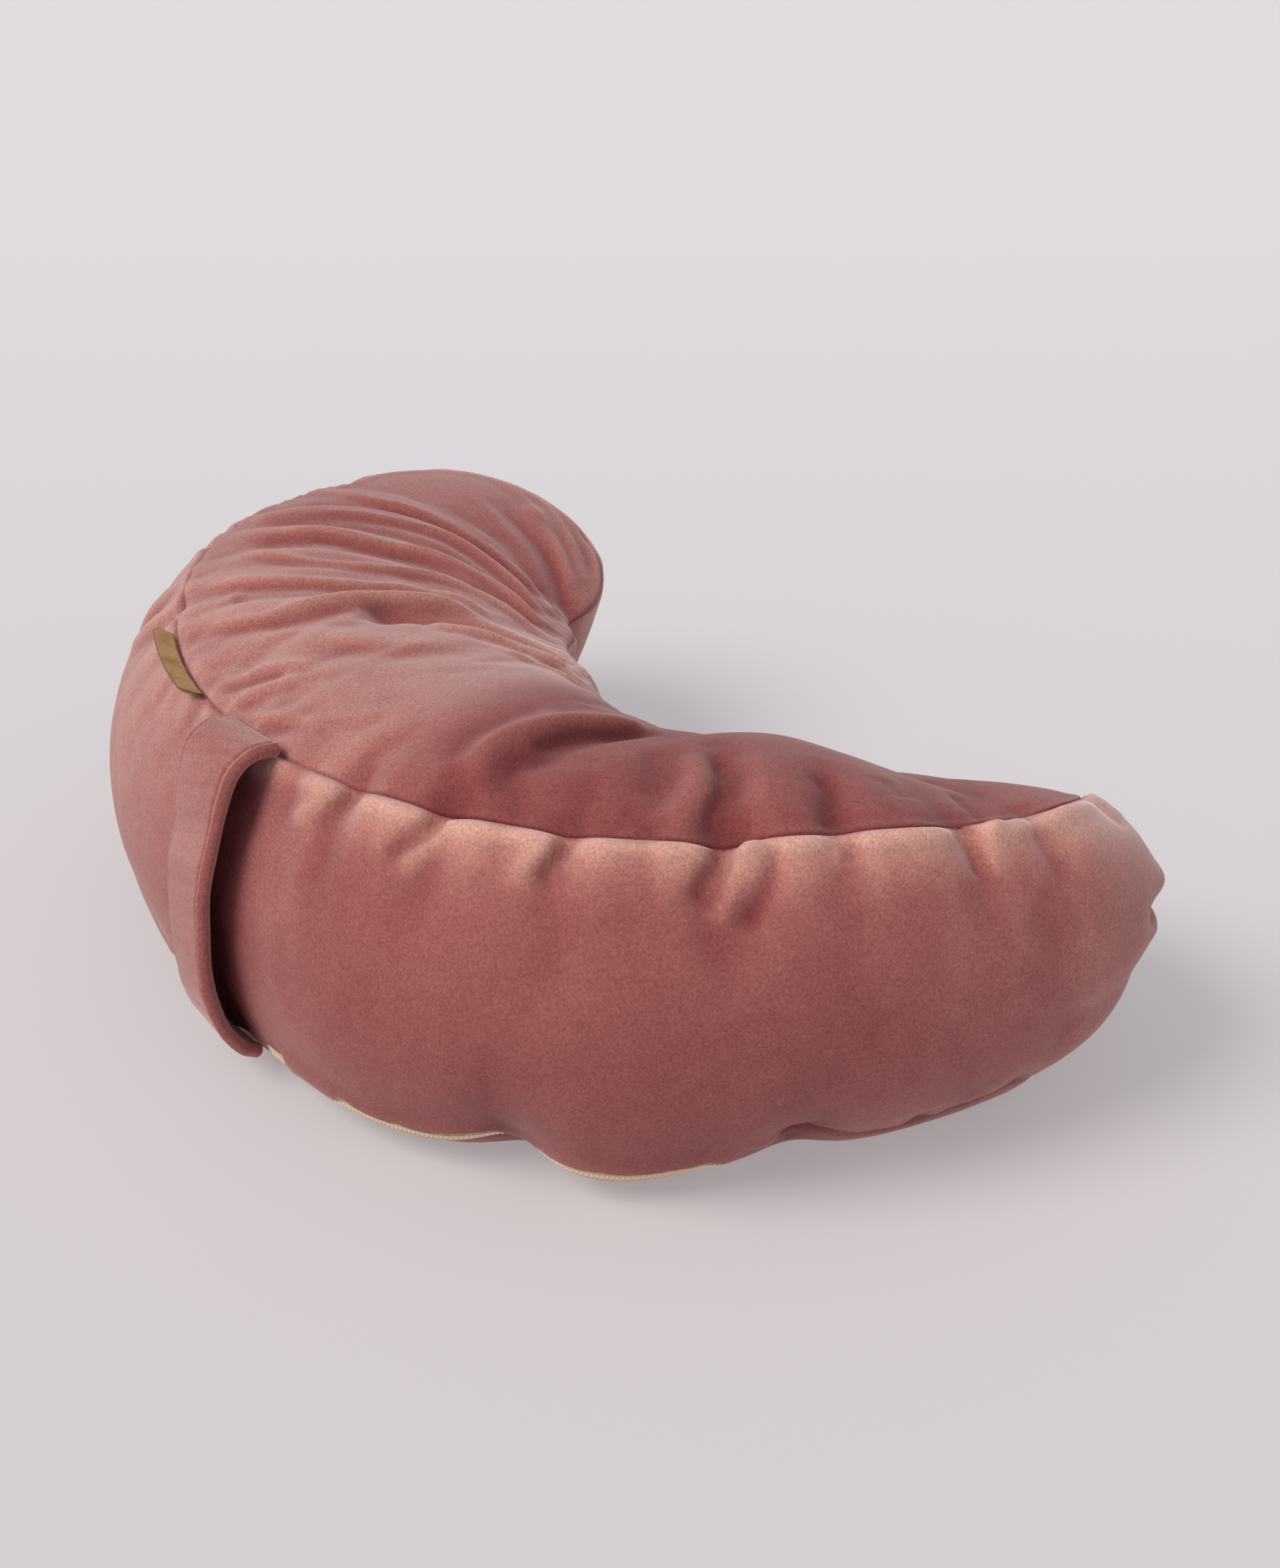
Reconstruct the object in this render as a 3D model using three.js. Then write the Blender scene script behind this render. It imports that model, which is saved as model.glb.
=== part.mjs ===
import * as THREE from "three";

// Crescent meditation cushion in millimetres, +Z up, lying on its base panel.
// Seen from above, its middle line is an arc about a turning centre. Places on it are an angle
// in degrees round that centre, 0 at the strap and positive towards the near tip, and a radius.
// The strap faces -Y and the open side of the crescent +Y.

// Driving dimensions
const MIDDLE_RADIUS = 131;
const TIP_ANGLE = 80;
const STATIONS_ALONG = 84;
const STATIONS_ROUND_TIP = 12;
const ROWS = { panel: 12, band: 11, base: 3 };
const ROW_POWER = 0.85; // below 1 the rows of the top panel lie closer together near its seam
const FLAT_SHARE = 0.8; // how much of the base panel lies flat, measured from its middle line
const CURL_POWER = 1.7; // how late the base panel lifts towards its seam
const DOME_POWER = 2.3; // higher is flatter in the middle and steeper at the seams
const DIP_POWER = 5; // how close to the seam its dips stay
const FOLD_END_POWER = 6; // how close to the seam the folds of the top panel run out
const OUTER_POWER = 4; // how soon the dips, waves and pleats of the outer side end round a tip
const CLEARANCE = 0.4; // between a sewn-on piece and the cushion under it
const MERGE_DISTANCE = 0.001;

// One row for each section across the crescent. outer and inner are the distances from the
// middle line to the top seams, outerSeam and innerSeam their heights, and dome the rise of the
// top panel above the straight line between them. spread and tuck say how far the bottom seams
// lie outside the top ones, foot and innerFoot their heights, and bulge and innerBulge how far
// the side band swells past the straight line between its seams.
const SECTIONS = [
  { angle: -80, outer: 66, inner: 64, outerSeam: 118, innerSeam: 88, dome: 12,
    spread: 6, tuck: -27, foot: 16, innerFoot: 26, bulge: 24, innerBulge: 3 },
  { angle: -60, outer: 69, inner: 79, outerSeam: 122, innerSeam: 93, dome: 17,
    spread: 12, tuck: -25, foot: 14, innerFoot: 22, bulge: 24, innerBulge: 4 },
  { angle: -38, outer: 68, inner: 80, outerSeam: 121, innerSeam: 97, dome: 20,
    spread: 17, tuck: -16, foot: 12, innerFoot: 18, bulge: 22, innerBulge: 6 },
  { angle: 0, outer: 67, inner: 74, outerSeam: 119, innerSeam: 103, dome: 19,
    spread: 17, tuck: -8, foot: 13, innerFoot: 18, bulge: 14, innerBulge: 10 },
  { angle: 20, outer: 67, inner: 62, outerSeam: 120, innerSeam: 99, dome: 21,
    spread: 20, tuck: -2, foot: 12, innerFoot: 18, bulge: 24, innerBulge: 10 },
  { angle: 42, outer: 67, inner: 58, outerSeam: 120, innerSeam: 87, dome: 19,
    spread: 18, tuck: 0, foot: 12, innerFoot: 18, bulge: 28, innerBulge: 8 },
  { angle: 62, outer: 66, inner: 58, outerSeam: 121, innerSeam: 83, dome: 18,
    spread: 9, tuck: -2, foot: 13, innerFoot: 20, bulge: 29, innerBulge: 6 },
  { angle: 80, outer: 63, inner: 56, outerSeam: 112, innerSeam: 70, dome: 7,
    spread: 8, tuck: -6, foot: 17, innerFoot: 26, bulge: 28, innerBulge: 6 },
];

// The end of each tip, half way round it: how far it reaches past the tip's centre, the heights
// of its top and bottom seams, how far the bottom seam lies outside the top one, and the bulge
const TIPS = {
  far: { reach: 58, seam: 108, foot: 26, tuck: -27, bulge: 10 },
  near: { reach: 56, seam: 76, foot: 36, tuck: -17, bulge: 27 },
};

// Where stitching gathers the outer top seam: the seam drops and draws in over a short width
const SEAM_DIPS = [
  { angle: -36, drop: 2, inset: 2, wide: 9 },
  { angle: 14, drop: 2, inset: 1.5, wide: 7 },
  { angle: 24, drop: 3, inset: 2, wide: 8 },
  { angle: 36, drop: 2, inset: 1.5, wide: 7 },
  { angle: 50, drop: 5, inset: 3, wide: 9 },
  { angle: 60, drop: 2, inset: 2, wide: 8 },
  { angle: 72, drop: 2, inset: 2, wide: 8 },
];

// Waves of the outer bottom seam: out is outwards, up is above the table of sections
const FOOT_WAVES = [
  { angle: 20, out: 2, up: -1, wide: 26 },
  { angle: 32, out: -9, up: 3, wide: 13 },
  { angle: 41, out: 6, up: -2, wide: 24 },
  { angle: 57, out: -7, up: 4, wide: 14 },
];

// Pleats that run down the band from the top seam. reach is the share of the band's height.
const PLEATS = [
  { angle: -47, depth: 2, wide: 7, reach: 0.3 },
  { angle: -41, depth: 2.5, wide: 7, reach: 0.35 },
  { angle: -33, depth: 2, wide: 7, reach: 0.35 },
  { angle: 14, depth: 2, wide: 7, reach: 0.35 },
  { angle: 24, depth: 3.5, wide: 8, reach: 0.4 },
  { angle: 36, depth: 2.5, wide: 8, reach: 0.3 },
  { angle: 50, depth: 6, wide: 9, reach: 0.5 },
  { angle: 60, depth: 2.5, wide: 8, reach: 0.3 },
  { angle: 72, depth: 4, wide: 9, reach: 0.45 },
];
const PLEAT_START = 0.05; // share of the band's height over which a pleat opens below the seam
const PLEAT_POWER = 1.5; // how fast a pleat runs out downwards

// Folds of the top panel, ridges with high above 0 and creases below. Each path runs from a0, r0
// through a1, r1 to a2, r2, an angle and a radius each, and close narrows it towards its end.
const FOLD_STEPS = 12;
const FOLDS = [
  { a0: -74, r0: 190, a1: -80, r1: 115, a2: -74, r2: 67, high: 4, wide: 9, close: 0.5 },
  { a0: -66, r0: 175, a1: -76, r1: 122, a2: -71, r2: 68, high: -3, wide: 8, close: 0.5 },
  { a0: -59, r0: 188, a1: -71, r1: 132, a2: -66, r2: 66, high: 5, wide: 8, close: 0.5 },
  { a0: -56, r0: 172, a1: -62, r1: 120, a2: -56, r2: 64, high: -4, wide: 8, close: 0.5 },
  { a0: -52, r0: 184, a1: -54, r1: 122, a2: -46, r2: 62, high: 5, wide: 8, close: 0.5 },
  { a0: -48, r0: 168, a1: -48, r1: 116, a2: -39, r2: 60, high: -4, wide: 8, close: 0.5 },
  { a0: -43, r0: 174, a1: -42, r1: 115, a2: -31, r2: 60, high: 4, wide: 8, close: 0.6 },
  { a0: -38, r0: 196, a1: -35, r1: 155, a2: -37, r2: 122, high: 4, wide: 9, close: 0.8 },
  { a0: -29, r0: 198, a1: -23, r1: 150, a2: -29, r2: 92, high: 5, wide: 9, close: 0.8 },
  { a0: -20, r0: 142, a1: -21, r1: 100, a2: -7, r2: 65, high: -9, wide: 11, close: 0.7 },
  { a0: -18, r0: 132, a1: -14, r1: 94, a2: 4, r2: 72, high: 5, wide: 9, close: 0.8 },
  { a0: -13, r0: 154, a1: -6, r1: 126, a2: -8, r2: 96, high: 3, wide: 8, close: 1 },
  { a0: -92, r0: 134, a1: -89, r1: 98, a2: -80, r2: 70, high: -3, wide: 7, close: 0.6 },
  { a0: -98, r0: 128, a1: -95, r1: 102, a2: -87, r2: 78, high: 3, wide: 6, close: 0.6 },
  { a0: -105, r0: 124, a1: -101, r1: 106, a2: -93, r2: 84, high: 3, wide: 6, close: 0.6 },
  { a0: 37, r0: 126, a1: 28, r1: 152, a2: 24, r2: 190, high: 5, wide: 10, close: 1 },
  { a0: 40, r0: 128, a1: 33, r1: 156, a2: 28, r2: 178, high: -7, wide: 10, close: 1 },
  { a0: 44, r0: 128, a1: 39, r1: 158, a2: 33, r2: 182, high: 4, wide: 10, close: 1 },
  { a0: 42, r0: 134, a1: 44, r1: 155, a2: 44, r2: 178, high: -3, wide: 9, close: 1 },
  { a0: 47, r0: 142, a1: 48, r1: 168, a2: 46, r2: 190, high: 3, wide: 8, close: 1 },
  { a0: 49, r0: 140, a1: 51, r1: 168, a2: 50, r2: 194, high: -6, wide: 8, close: 1 },
  { a0: 55, r0: 138, a1: 55, r1: 164, a2: 54, r2: 186, high: 3, wide: 9, close: 1 },
  { a0: 63, r0: 150, a1: 61, r1: 172, a2: 60, r2: 194, high: -4, wide: 9, close: 1 },
  { a0: 76, r0: 150, a1: 71, r1: 170, a2: 68, r2: 190, high: -3, wide: 8, close: 1 },
  { a0: 84, r0: 152, a1: 79, r1: 170, a2: 75, r2: 190, high: -4, wide: 8, close: 1 },
];

// The carry strap: a flat fabric band sewn into both seams, thinner at its edges. Its path down
// the middle is given by distances outwards from the top seam and heights.
const STRAP = { angle: -0.5, width: 33, thick: 4, edge: 2.6, edgePower: 4, columns: 6, steps: 30 };
const STRAP_PATH = [
  { out: 1, up: 121.8 },
  { out: 10, up: 122.4 },
  { out: 18, up: 117.5 },
  { out: 24, up: 106 },
  { out: 29, up: 92 },
  { out: 33, up: 79 },
  { out: 34.5, up: 65 },
  { out: 35.5, up: 50 },
  { out: 33, up: 35 },
  { out: 29, up: 23 },
  { out: 20.2, up: 13 },
];

// The leather tab: sewn in the top seam and stiff, so that it stands out over the band at tilt
// degrees above level. start is how far down the band it begins.
const TAB = { from: -27.6, to: -12.6, start: 0.5, width: 8, tilt: 22, thick: 1.4, columns: 4 };

// The closed zip along the bottom seam of the outer curve: a tape with the coil raised along it.
// end is how far above the seam it stops.
const ZIP = { from: 6, to: 50, end: 1, width: 6, thick: 0.9, coil: 1, coilWidth: 2.6, columns: 7 };

const MATERIALS = {
  velvet: { color: 0xa5696a, roughness: 0.95 },
  tabLeather: { color: 0x9e7848, roughness: 0.6 },
  zipTape: { color: 0xe2c8a8, roughness: 0.8 },
};

// Numbers from the tables

const radians = THREE.MathUtils.degToRad;
const mix = THREE.MathUtils.lerp;
const bell = (distance, wide) => Math.exp(-((distance / wide) ** 2));

// A smooth curve through one column of a table whose rows are sorted by angle
function column(rows, name, angle) {
  const last = rows.length - 1;
  let row = 0;
  while (row < last - 1 && angle > rows[row + 1].angle) row += 1;
  const span = rows[row + 1].angle - rows[row].angle;
  const t = THREE.MathUtils.clamp((angle - rows[row].angle) / span, 0, 1);
  const slope = (k) => {
    const before = rows[Math.max(k - 1, 0)];
    const after = rows[Math.min(k + 1, last)];
    return (span * (after[name] - before[name])) / (after.angle - before.angle);
  };
  const rise = rows[row + 1][name] - rows[row][name];
  const cubic = slope(row) + slope(row + 1) - 2 * rise;
  const square = 3 * rise - 2 * slope(row) - slope(row + 1);
  return rows[row][name] + slope(row) * t + square * t ** 2 + cubic * t ** 3;
}

// The sum of one column of bell-shaped waves at an angle, their width taken at the outer seam
function waves(rows, name, angle) {
  const seamRadius = MIDDLE_RADIUS + SECTIONS[0].outer;
  const along = (row) => radians(angle - row.angle) * seamRadius;
  return rows.reduce((sum, row) => sum + row[name] * bell(along(row), row.wide), 0);
}

// A place on the plan from an angle and a radius
function planPoint(angle, radius) {
  const turn = radians(angle);
  return new THREE.Vector2(radius * Math.sin(turn), -radius * Math.cos(turn));
}

// The surface of the cushion

// One half section: from the middle line outwards over a top seam and down to a bottom seam.
// turn is 0 on the outer side, 180 on the inner side and between the two round a tip.
function halfSection(angle, turn) {
  const at = (name) => column(SECTIONS, name, angle);
  const outwards = 0.5 + 0.5 * Math.cos(radians(turn));
  const endwards = Math.sin(radians(turn)) ** 2;
  const tip = angle > 0 ? TIPS.near : TIPS.far;
  const sides = (outer, inner, end) => {
    const value = mix(at(inner), at(outer), outwards);
    return value + endwards * (end - 0.5 * (at(inner) + at(outer)));
  };
  const outerOnly = outwards ** OUTER_POWER;
  const spine = planPoint(angle, MIDDLE_RADIUS);
  const across = planPoint(angle, 1);
  const ahead = planPoint(angle + 90, 1).multiplyScalar(Math.sign(angle) || 1);
  const direction = across.multiplyScalar(Math.cos(radians(turn)));
  direction.addScaledVector(ahead, Math.sin(radians(turn)));
  const width = at("outer") + at("inner");
  return {
    angle,
    outerOnly,
    spine,
    direction,
    chord: mix(at("outerSeam"), at("innerSeam"), at("outer") / width),
    dome: at("dome"),
    reach: sides("outer", "inner", tip.reach),
    seam: sides("outerSeam", "innerSeam", tip.seam),
    inset: outerOnly * waves(SEAM_DIPS, "inset", angle),
    drop: outerOnly * waves(SEAM_DIPS, "drop", angle),
    spread: sides("spread", "tuck", tip.tuck) + outerOnly * waves(FOOT_WAVES, "out", angle),
    foot: sides("foot", "innerFoot", tip.foot) + outerOnly * waves(FOOT_WAVES, "up", angle),
    bulge: sides("bulge", "innerBulge", tip.bulge),
  };
}

const foldPaths = FOLDS.map((fold) => {
  const start = planPoint(fold.a0, fold.r0);
  const middle = planPoint(fold.a1, fold.r1);
  const end = planPoint(fold.a2, fold.r2);
  return { fold, points: new THREE.SplineCurve([start, middle, end]).getPoints(FOLD_STEPS) };
});

// Height added by the folds at a place on the plan, from its distance to the path of each
function foldHeight(place) {
  let height = 0;
  for (const { fold, points } of foldPaths) {
    let nearest = Infinity;
    let share = 0;
    for (let step = 0; step < FOLD_STEPS; step += 1) {
      const leg = points[step + 1].clone().sub(points[step]);
      const offset = place.clone().sub(points[step]);
      const t = THREE.MathUtils.clamp(offset.dot(leg) / leg.lengthSq(), 0, 1);
      const distance = offset.addScaledVector(leg, -t).length();
      if (distance < nearest) {
        nearest = distance;
        share = (step + t) / FOLD_STEPS;
      }
    }
    height += fold.high * bell(nearest, fold.wide * mix(1, fold.close, share));
  }
  return height;
}

// A point of the top panel, from the middle line at v = 0 to the top seam at v = 1
function panelPoint(half, v) {
  const dip = v ** DIP_POWER;
  const place = half.spine.clone().addScaledVector(half.direction, v * half.reach - dip * half.inset);
  const rise = mix(half.chord, half.seam, v) + half.dome * (1 - v ** DOME_POWER) - dip * half.drop;
  const height = rise + foldHeight(place) * (1 - v ** FOLD_END_POWER);
  return new THREE.Vector3(place.x, place.y, height);
}

// The arc of a circle that a section of the band follows: the straight line between its seams,
// half the angle of the arc and its length
function bandArc(half) {
  const slant = new THREE.Vector2(half.spread, half.foot - half.seam);
  const halfAngle = 2 * Math.atan((2 * half.bulge) / slant.length());
  return { slant, halfAngle, length: (slant.length() * halfAngle) / Math.sin(halfAngle) };
}

// A point of the side band, from the top seam at v = 0 to the bottom seam at v = 1: the arc,
// dented by the pleats and drawn in with the top seam
function bandPoint(half, v) {
  const { slant, halfAngle } = bandArc(half);
  const swing = mix(-halfAngle, halfAngle, v);
  const along = 0.5 + (0.5 * Math.sin(swing)) / Math.sin(halfAngle);
  const swell = (half.bulge * (Math.cos(swing) - Math.cos(halfAngle))) / (1 - Math.cos(halfAngle));
  const outward = new THREE.Vector2(-slant.y, slant.x).normalize();
  const section = slant.multiplyScalar(along).addScaledVector(outward, swell);
  const seamRadius = MIDDLE_RADIUS + half.reach;
  for (const pleat of PLEATS) {
    const distance = radians(half.angle - pleat.angle) * seamRadius;
    const fade = Math.max(0, 1 - v / pleat.reach) ** PLEAT_POWER * Math.min(1, v / PLEAT_START);
    section.x -= half.outerOnly * pleat.depth * bell(distance, pleat.wide) * fade;
  }
  const dip = (1 - v) ** DIP_POWER;
  section.x -= dip * half.inset;
  section.y -= dip * half.drop;
  const place = half.spine.clone().addScaledVector(half.direction, half.reach + section.x);
  return new THREE.Vector3(place.x, place.y, half.seam + section.y);
}

// A point of the base panel, from the bottom seam at v = 0 to the middle line at v = 1
function basePoint(half, v) {
  const share = 1 - v;
  const place = half.spine.clone().addScaledVector(half.direction, share * (half.reach + half.spread));
  const curl = Math.max(0, (share - FLAT_SHARE) / (1 - FLAT_SHARE));
  return new THREE.Vector3(place.x, place.y, half.foot * curl ** CURL_POWER);
}

// The half sections in order round the crescent, anticlockwise from the far tip's outer side
function roundTheCrescent() {
  const halves = [];
  for (let i = 0; i <= STATIONS_ALONG; i += 1) {
    halves.push(halfSection(mix(-TIP_ANGLE, TIP_ANGLE, i / STATIONS_ALONG), 0));
  }
  for (let i = 1; i < STATIONS_ROUND_TIP; i += 1) {
    halves.push(halfSection(TIP_ANGLE, (180 * i) / STATIONS_ROUND_TIP));
  }
  for (let i = 0; i <= STATIONS_ALONG; i += 1) {
    halves.push(halfSection(mix(TIP_ANGLE, -TIP_ANGLE, i / STATIONS_ALONG), 180));
  }
  for (let i = 1; i < STATIONS_ROUND_TIP; i += 1) {
    halves.push(halfSection(-TIP_ANGLE, 180 - (180 * i) / STATIONS_ROUND_TIP));
  }
  return halves;
}

// The points down one half section, from the middle line on top to the one underneath
function halfSectionPoints(half) {
  const points = [];
  for (let i = 0; i < ROWS.panel; i += 1) {
    points.push(panelPoint(half, (i / ROWS.panel) ** ROW_POWER));
  }
  for (let i = 0; i < ROWS.band; i += 1) {
    points.push(bandPoint(half, i / ROWS.band));
  }
  for (let i = 0; i <= ROWS.base; i += 1) {
    points.push(basePoint(half, (i / ROWS.base) * (1 - FLAT_SHARE)));
  }
  points.push(basePoint(half, 1));
  return points;
}

// Meshes

// A closed mesh from a ring of point lines. Each square is split along its shorter diagonal, and
// the triangles that a shared end point closes to nothing are left out.
function closedMesh(lines) {
  const keys = new Map();
  const positions = [];
  const indexOf = (point) => {
    const key = point.toArray().map((value) => Math.round(value / MERGE_DISTANCE)).join();
    if (!keys.has(key)) {
      keys.set(key, positions.length / 3);
      positions.push(point.x, point.y, point.z);
    }
    return keys.get(key);
  };
  const numbers = lines.map((line) => line.map(indexOf));
  const placeOf = (number) => new THREE.Vector3().fromArray(positions, 3 * number);
  const apart = (a, b) => placeOf(a).distanceTo(placeOf(b));
  const faces = [];
  const addFace = (a, b, c) => {
    if (a !== b && b !== c && c !== a) faces.push(a, b, c);
  };
  numbers.forEach((line, i) => {
    const next = numbers[(i + 1) % numbers.length];
    for (let k = 0; k < line.length - 1; k += 1) {
      const [a, b, c, d] = [line[k], line[k + 1], next[k + 1], next[k]];
      if (apart(a, c) < apart(b, d)) {
        addFace(a, b, c);
        addFace(a, c, d);
      } else {
        addFace(a, b, d);
        addFace(b, c, d);
      }
    }
  });
  const geometry = new THREE.BufferGeometry();
  geometry.setAttribute("position", new THREE.Float32BufferAttribute(positions, 3));
  geometry.setIndex(faces);
  geometry.computeVertexNormals();
  return geometry;
}

// A closed thin strip from rows of matching places along it, under on the cushion's side and over
// on the outer one. Both ends close to the middle of their row.
function stripMesh(rows) {
  const ring = rows.map(({ under, over }) => [...under, ...[...over].reverse()]);
  const middle = (points) => points
    .reduce((sum, point) => sum.add(point), new THREE.Vector3())
    .divideScalar(points.length);
  const start = middle(ring[0]);
  const end = middle(ring[ring.length - 1]);
  return closedMesh(ring[0].map((_, k) => [start, ...ring.map((points) => points[k]), end]));
}

function namedMesh(name, geometry, material) {
  const mesh = new THREE.Mesh(geometry, new THREE.MeshStandardMaterial(material));
  mesh.name = name;
  return mesh;
}

// Places on the band for the pieces sewn to it

// The direction away from the band at a share of its height
function bandNormal(angle, v) {
  const turnStep = 0.5;
  const shareStep = 0.01;
  const before = bandPoint(halfSection(angle - turnStep, 0), v);
  const along = bandPoint(halfSection(angle + turnStep, 0), v).sub(before);
  const half = halfSection(angle, 0);
  const above = bandPoint(half, Math.max(v - shareStep, 0));
  const down = bandPoint(half, Math.min(v + shareStep, 1)).sub(above);
  return down.cross(along).normalize();
}

// Two angles and the cushion's own stations between them, so that a strip lies on its facets
function stationsBetween(from, to) {
  const angles = [from];
  for (let i = 0; i <= STATIONS_ALONG; i += 1) {
    const angle = mix(-TIP_ANGLE, TIP_ANGLE, i / STATIONS_ALONG);
    if (angle > from && angle < to) angles.push(angle);
  }
  return [...angles, to];
}

// A strip along the outer side from one angle to another. pairAt gives the places under and over
// it at an angle and a share of its width.
function stripAlong({ from, to, columns }, pairAt) {
  return stripMesh(stationsBetween(from, to).map((angle) => {
    const row = { under: [], over: [] };
    for (let k = 0; k <= columns; k += 1) {
      const { under, over } = pairAt(angle, k / columns);
      row.under.push(under);
      row.over.push(over);
    }
    return row;
  }));
}

// The pieces

function cushion() {
  const lines = roundTheCrescent().map(halfSectionPoints);
  return namedMesh("cushion", closedMesh(lines), MATERIALS.velvet);
}

function carryStrap() {
  const path = new THREE.SplineCurve(STRAP_PATH.map(({ out, up }) => new THREE.Vector2(out, up)));
  const seamRadius = MIDDLE_RADIUS + halfSection(STRAP.angle, 0).reach;
  const rows = [];
  for (let i = 0; i <= STRAP.steps; i += 1) {
    const centre = path.getPointAt(i / STRAP.steps);
    const tangent = path.getTangentAt(i / STRAP.steps);
    const outward = new THREE.Vector2(-tangent.y, tangent.x);
    const placeAt = (side, shift) => {
      const point = centre.clone().addScaledVector(outward, shift);
      const radius = seamRadius + point.x;
      const turn = THREE.MathUtils.radToDeg((0.5 * STRAP.width * side) / radius);
      const onPlan = planPoint(STRAP.angle + turn, radius);
      return new THREE.Vector3(onPlan.x, onPlan.y, point.y);
    };
    const row = { under: [], over: [] };
    for (let k = 0; k <= STRAP.columns; k += 1) {
      const side = mix(1, -1, k / STRAP.columns);
      const thick = mix(STRAP.thick, STRAP.edge, side ** STRAP.edgePower);
      row.under.push(placeAt(side, -0.5 * STRAP.thick));
      row.over.push(placeAt(side, thick - 0.5 * STRAP.thick));
    }
    rows.push(row);
  }
  return namedMesh("carry_strap", stripMesh(rows), MATERIALS.velvet);
}

function tab() {
  const geometry = stripAlong(TAB, (angle, share) => {
    const half = halfSection(angle, 0);
    const v = TAB.start / bandArc(half).length;
    const root = bandPoint(half, v).addScaledVector(bandNormal(angle, v), CLEARANCE);
    const level = Math.cos(radians(TAB.tilt));
    const rise = Math.sin(radians(TAB.tilt));
    const direction = new THREE.Vector3(half.direction.x * level, half.direction.y * level, rise);
    const across = new THREE.Vector3(-half.direction.x * rise, -half.direction.y * rise, level);
    const under = root.addScaledVector(direction, share * TAB.width);
    return { under, over: under.clone().addScaledVector(across, TAB.thick) };
  });
  return namedMesh("tab", geometry, MATERIALS.tabLeather);
}

function zip() {
  const geometry = stripAlong(ZIP, (angle, share) => {
    const half = halfSection(angle, 0);
    const v = 1 - (ZIP.end + ZIP.width * (1 - share)) / bandArc(half).length;
    const normal = bandNormal(angle, v);
    const raised = ZIP.coil * bell((share - 0.5) * ZIP.width, 0.5 * ZIP.coilWidth);
    const under = bandPoint(half, v).addScaledVector(normal, CLEARANCE);
    return { under, over: under.clone().addScaledVector(normal, ZIP.thick + raised) };
  });
  return namedMesh("zip", geometry, MATERIALS.zipTape);
}

const model = new THREE.Group();
model.add(cushion(), carryStrap(), tab(), zip());

// The origin is at the bottom centre of the whole
const bounds = new THREE.Box3().setFromObject(model);
const centre = bounds.getCenter(new THREE.Vector3());
model.children.forEach((mesh) => mesh.position.set(-centre.x, -centre.y, -bounds.min.z));

export default model;
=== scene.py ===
"""Crescent meditation cushion in velvet, with its carry strap, leather tab and closed zip."""

import math

import bpy
import numpy as np
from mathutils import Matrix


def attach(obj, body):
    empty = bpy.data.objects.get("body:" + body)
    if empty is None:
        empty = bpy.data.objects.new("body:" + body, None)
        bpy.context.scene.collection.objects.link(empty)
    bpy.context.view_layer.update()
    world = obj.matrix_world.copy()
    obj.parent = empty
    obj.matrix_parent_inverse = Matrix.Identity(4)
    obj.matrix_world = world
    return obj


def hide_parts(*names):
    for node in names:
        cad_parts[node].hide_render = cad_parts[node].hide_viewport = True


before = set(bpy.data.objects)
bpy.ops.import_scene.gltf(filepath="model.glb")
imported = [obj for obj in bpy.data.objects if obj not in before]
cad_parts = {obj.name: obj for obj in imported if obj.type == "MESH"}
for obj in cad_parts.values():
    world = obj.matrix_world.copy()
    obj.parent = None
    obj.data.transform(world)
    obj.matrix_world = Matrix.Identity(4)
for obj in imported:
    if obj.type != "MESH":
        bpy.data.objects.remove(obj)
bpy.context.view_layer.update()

# Sizes and tables of the sewn shape, in millimetres and degrees

MILLIMETRE = 0.001

# The spine of the crescent is an arc about the turning centre, and a blunt tip starts at each end
TURNING_CENTRE = np.array([-1.13, 92.69, 0.0])
MIDDLE_RADIUS = 131.0
TIP_ANGLE = 80.0

# Distances along the outer seam are measured on this arc, and round a tip on the smaller one
OUTER_SEAM_RADIUS = MIDDLE_RADIUS + 67
TIP_SEAM_RADIUS = 60

# The turn of a half section at which it counts as one of the inner side, past all round a tip
INNER_TURN = 179

# How the panels and the band curve: shares of a width, and powers that push a form to one end
FLAT_SHARE = 0.8
CURL_POWER = 1.7
DOME_POWER = 2.3
DIP_POWER = 5
FOLD_END_POWER = 6
FOLD_SHARE = 0.5
OUTER_POWER = 4
FOOT_POWER = 4

# A pleat is at its full depth one twentieth of the way down the band, and runs out by a power
PLEAT_START = 20
PLEAT_POWER = 1.5

SECTION_COLUMNS = ("angle outer inner outer_seam inner_seam dome spread tuck foot inner_foot"
                   " bulge inner_bulge").split()
SECTIONS = dict(zip(SECTION_COLUMNS, np.array([
    (-80, 66, 64, 118, 88, 12, 6, -27, 16, 26, 24, 3),
    (-60, 69, 79, 122, 93, 17, 12, -25, 14, 22, 24, 4),
    (-38, 68, 80, 121, 97, 20, 17, -16, 12, 18, 22, 6),
    (0, 67, 74, 119, 103, 19, 17, -8, 13, 18, 14, 10),
    (20, 67, 62, 120, 99, 21, 20, -2, 12, 18, 24, 10),
    (42, 67, 58, 120, 87, 19, 18, 0, 12, 18, 28, 8),
    (62, 66, 58, 121, 83, 18, 9, -2, 13, 20, 29, 6),
    (80, 63, 56, 112, 70, 7, 8, -6, 17, 26, 28, 6),
], float).T))
FAR_TIP = dict(reach=58, seam=108, foot=26, tuck=-27, bulge=10)
NEAR_TIP = dict(reach=56, seam=76, foot=36, tuck=-17, bulge=27)

# angle, drop, inset, width of each dip of the top seam
SEAM_DIPS = [(-36, 2, 2, 9), (14, 2, 1.5, 7), (24, 3, 2, 8), (36, 2, 1.5, 7), (50, 5, 3, 9),
             (60, 2, 2, 8), (72, 2, 2, 8)]

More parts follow.
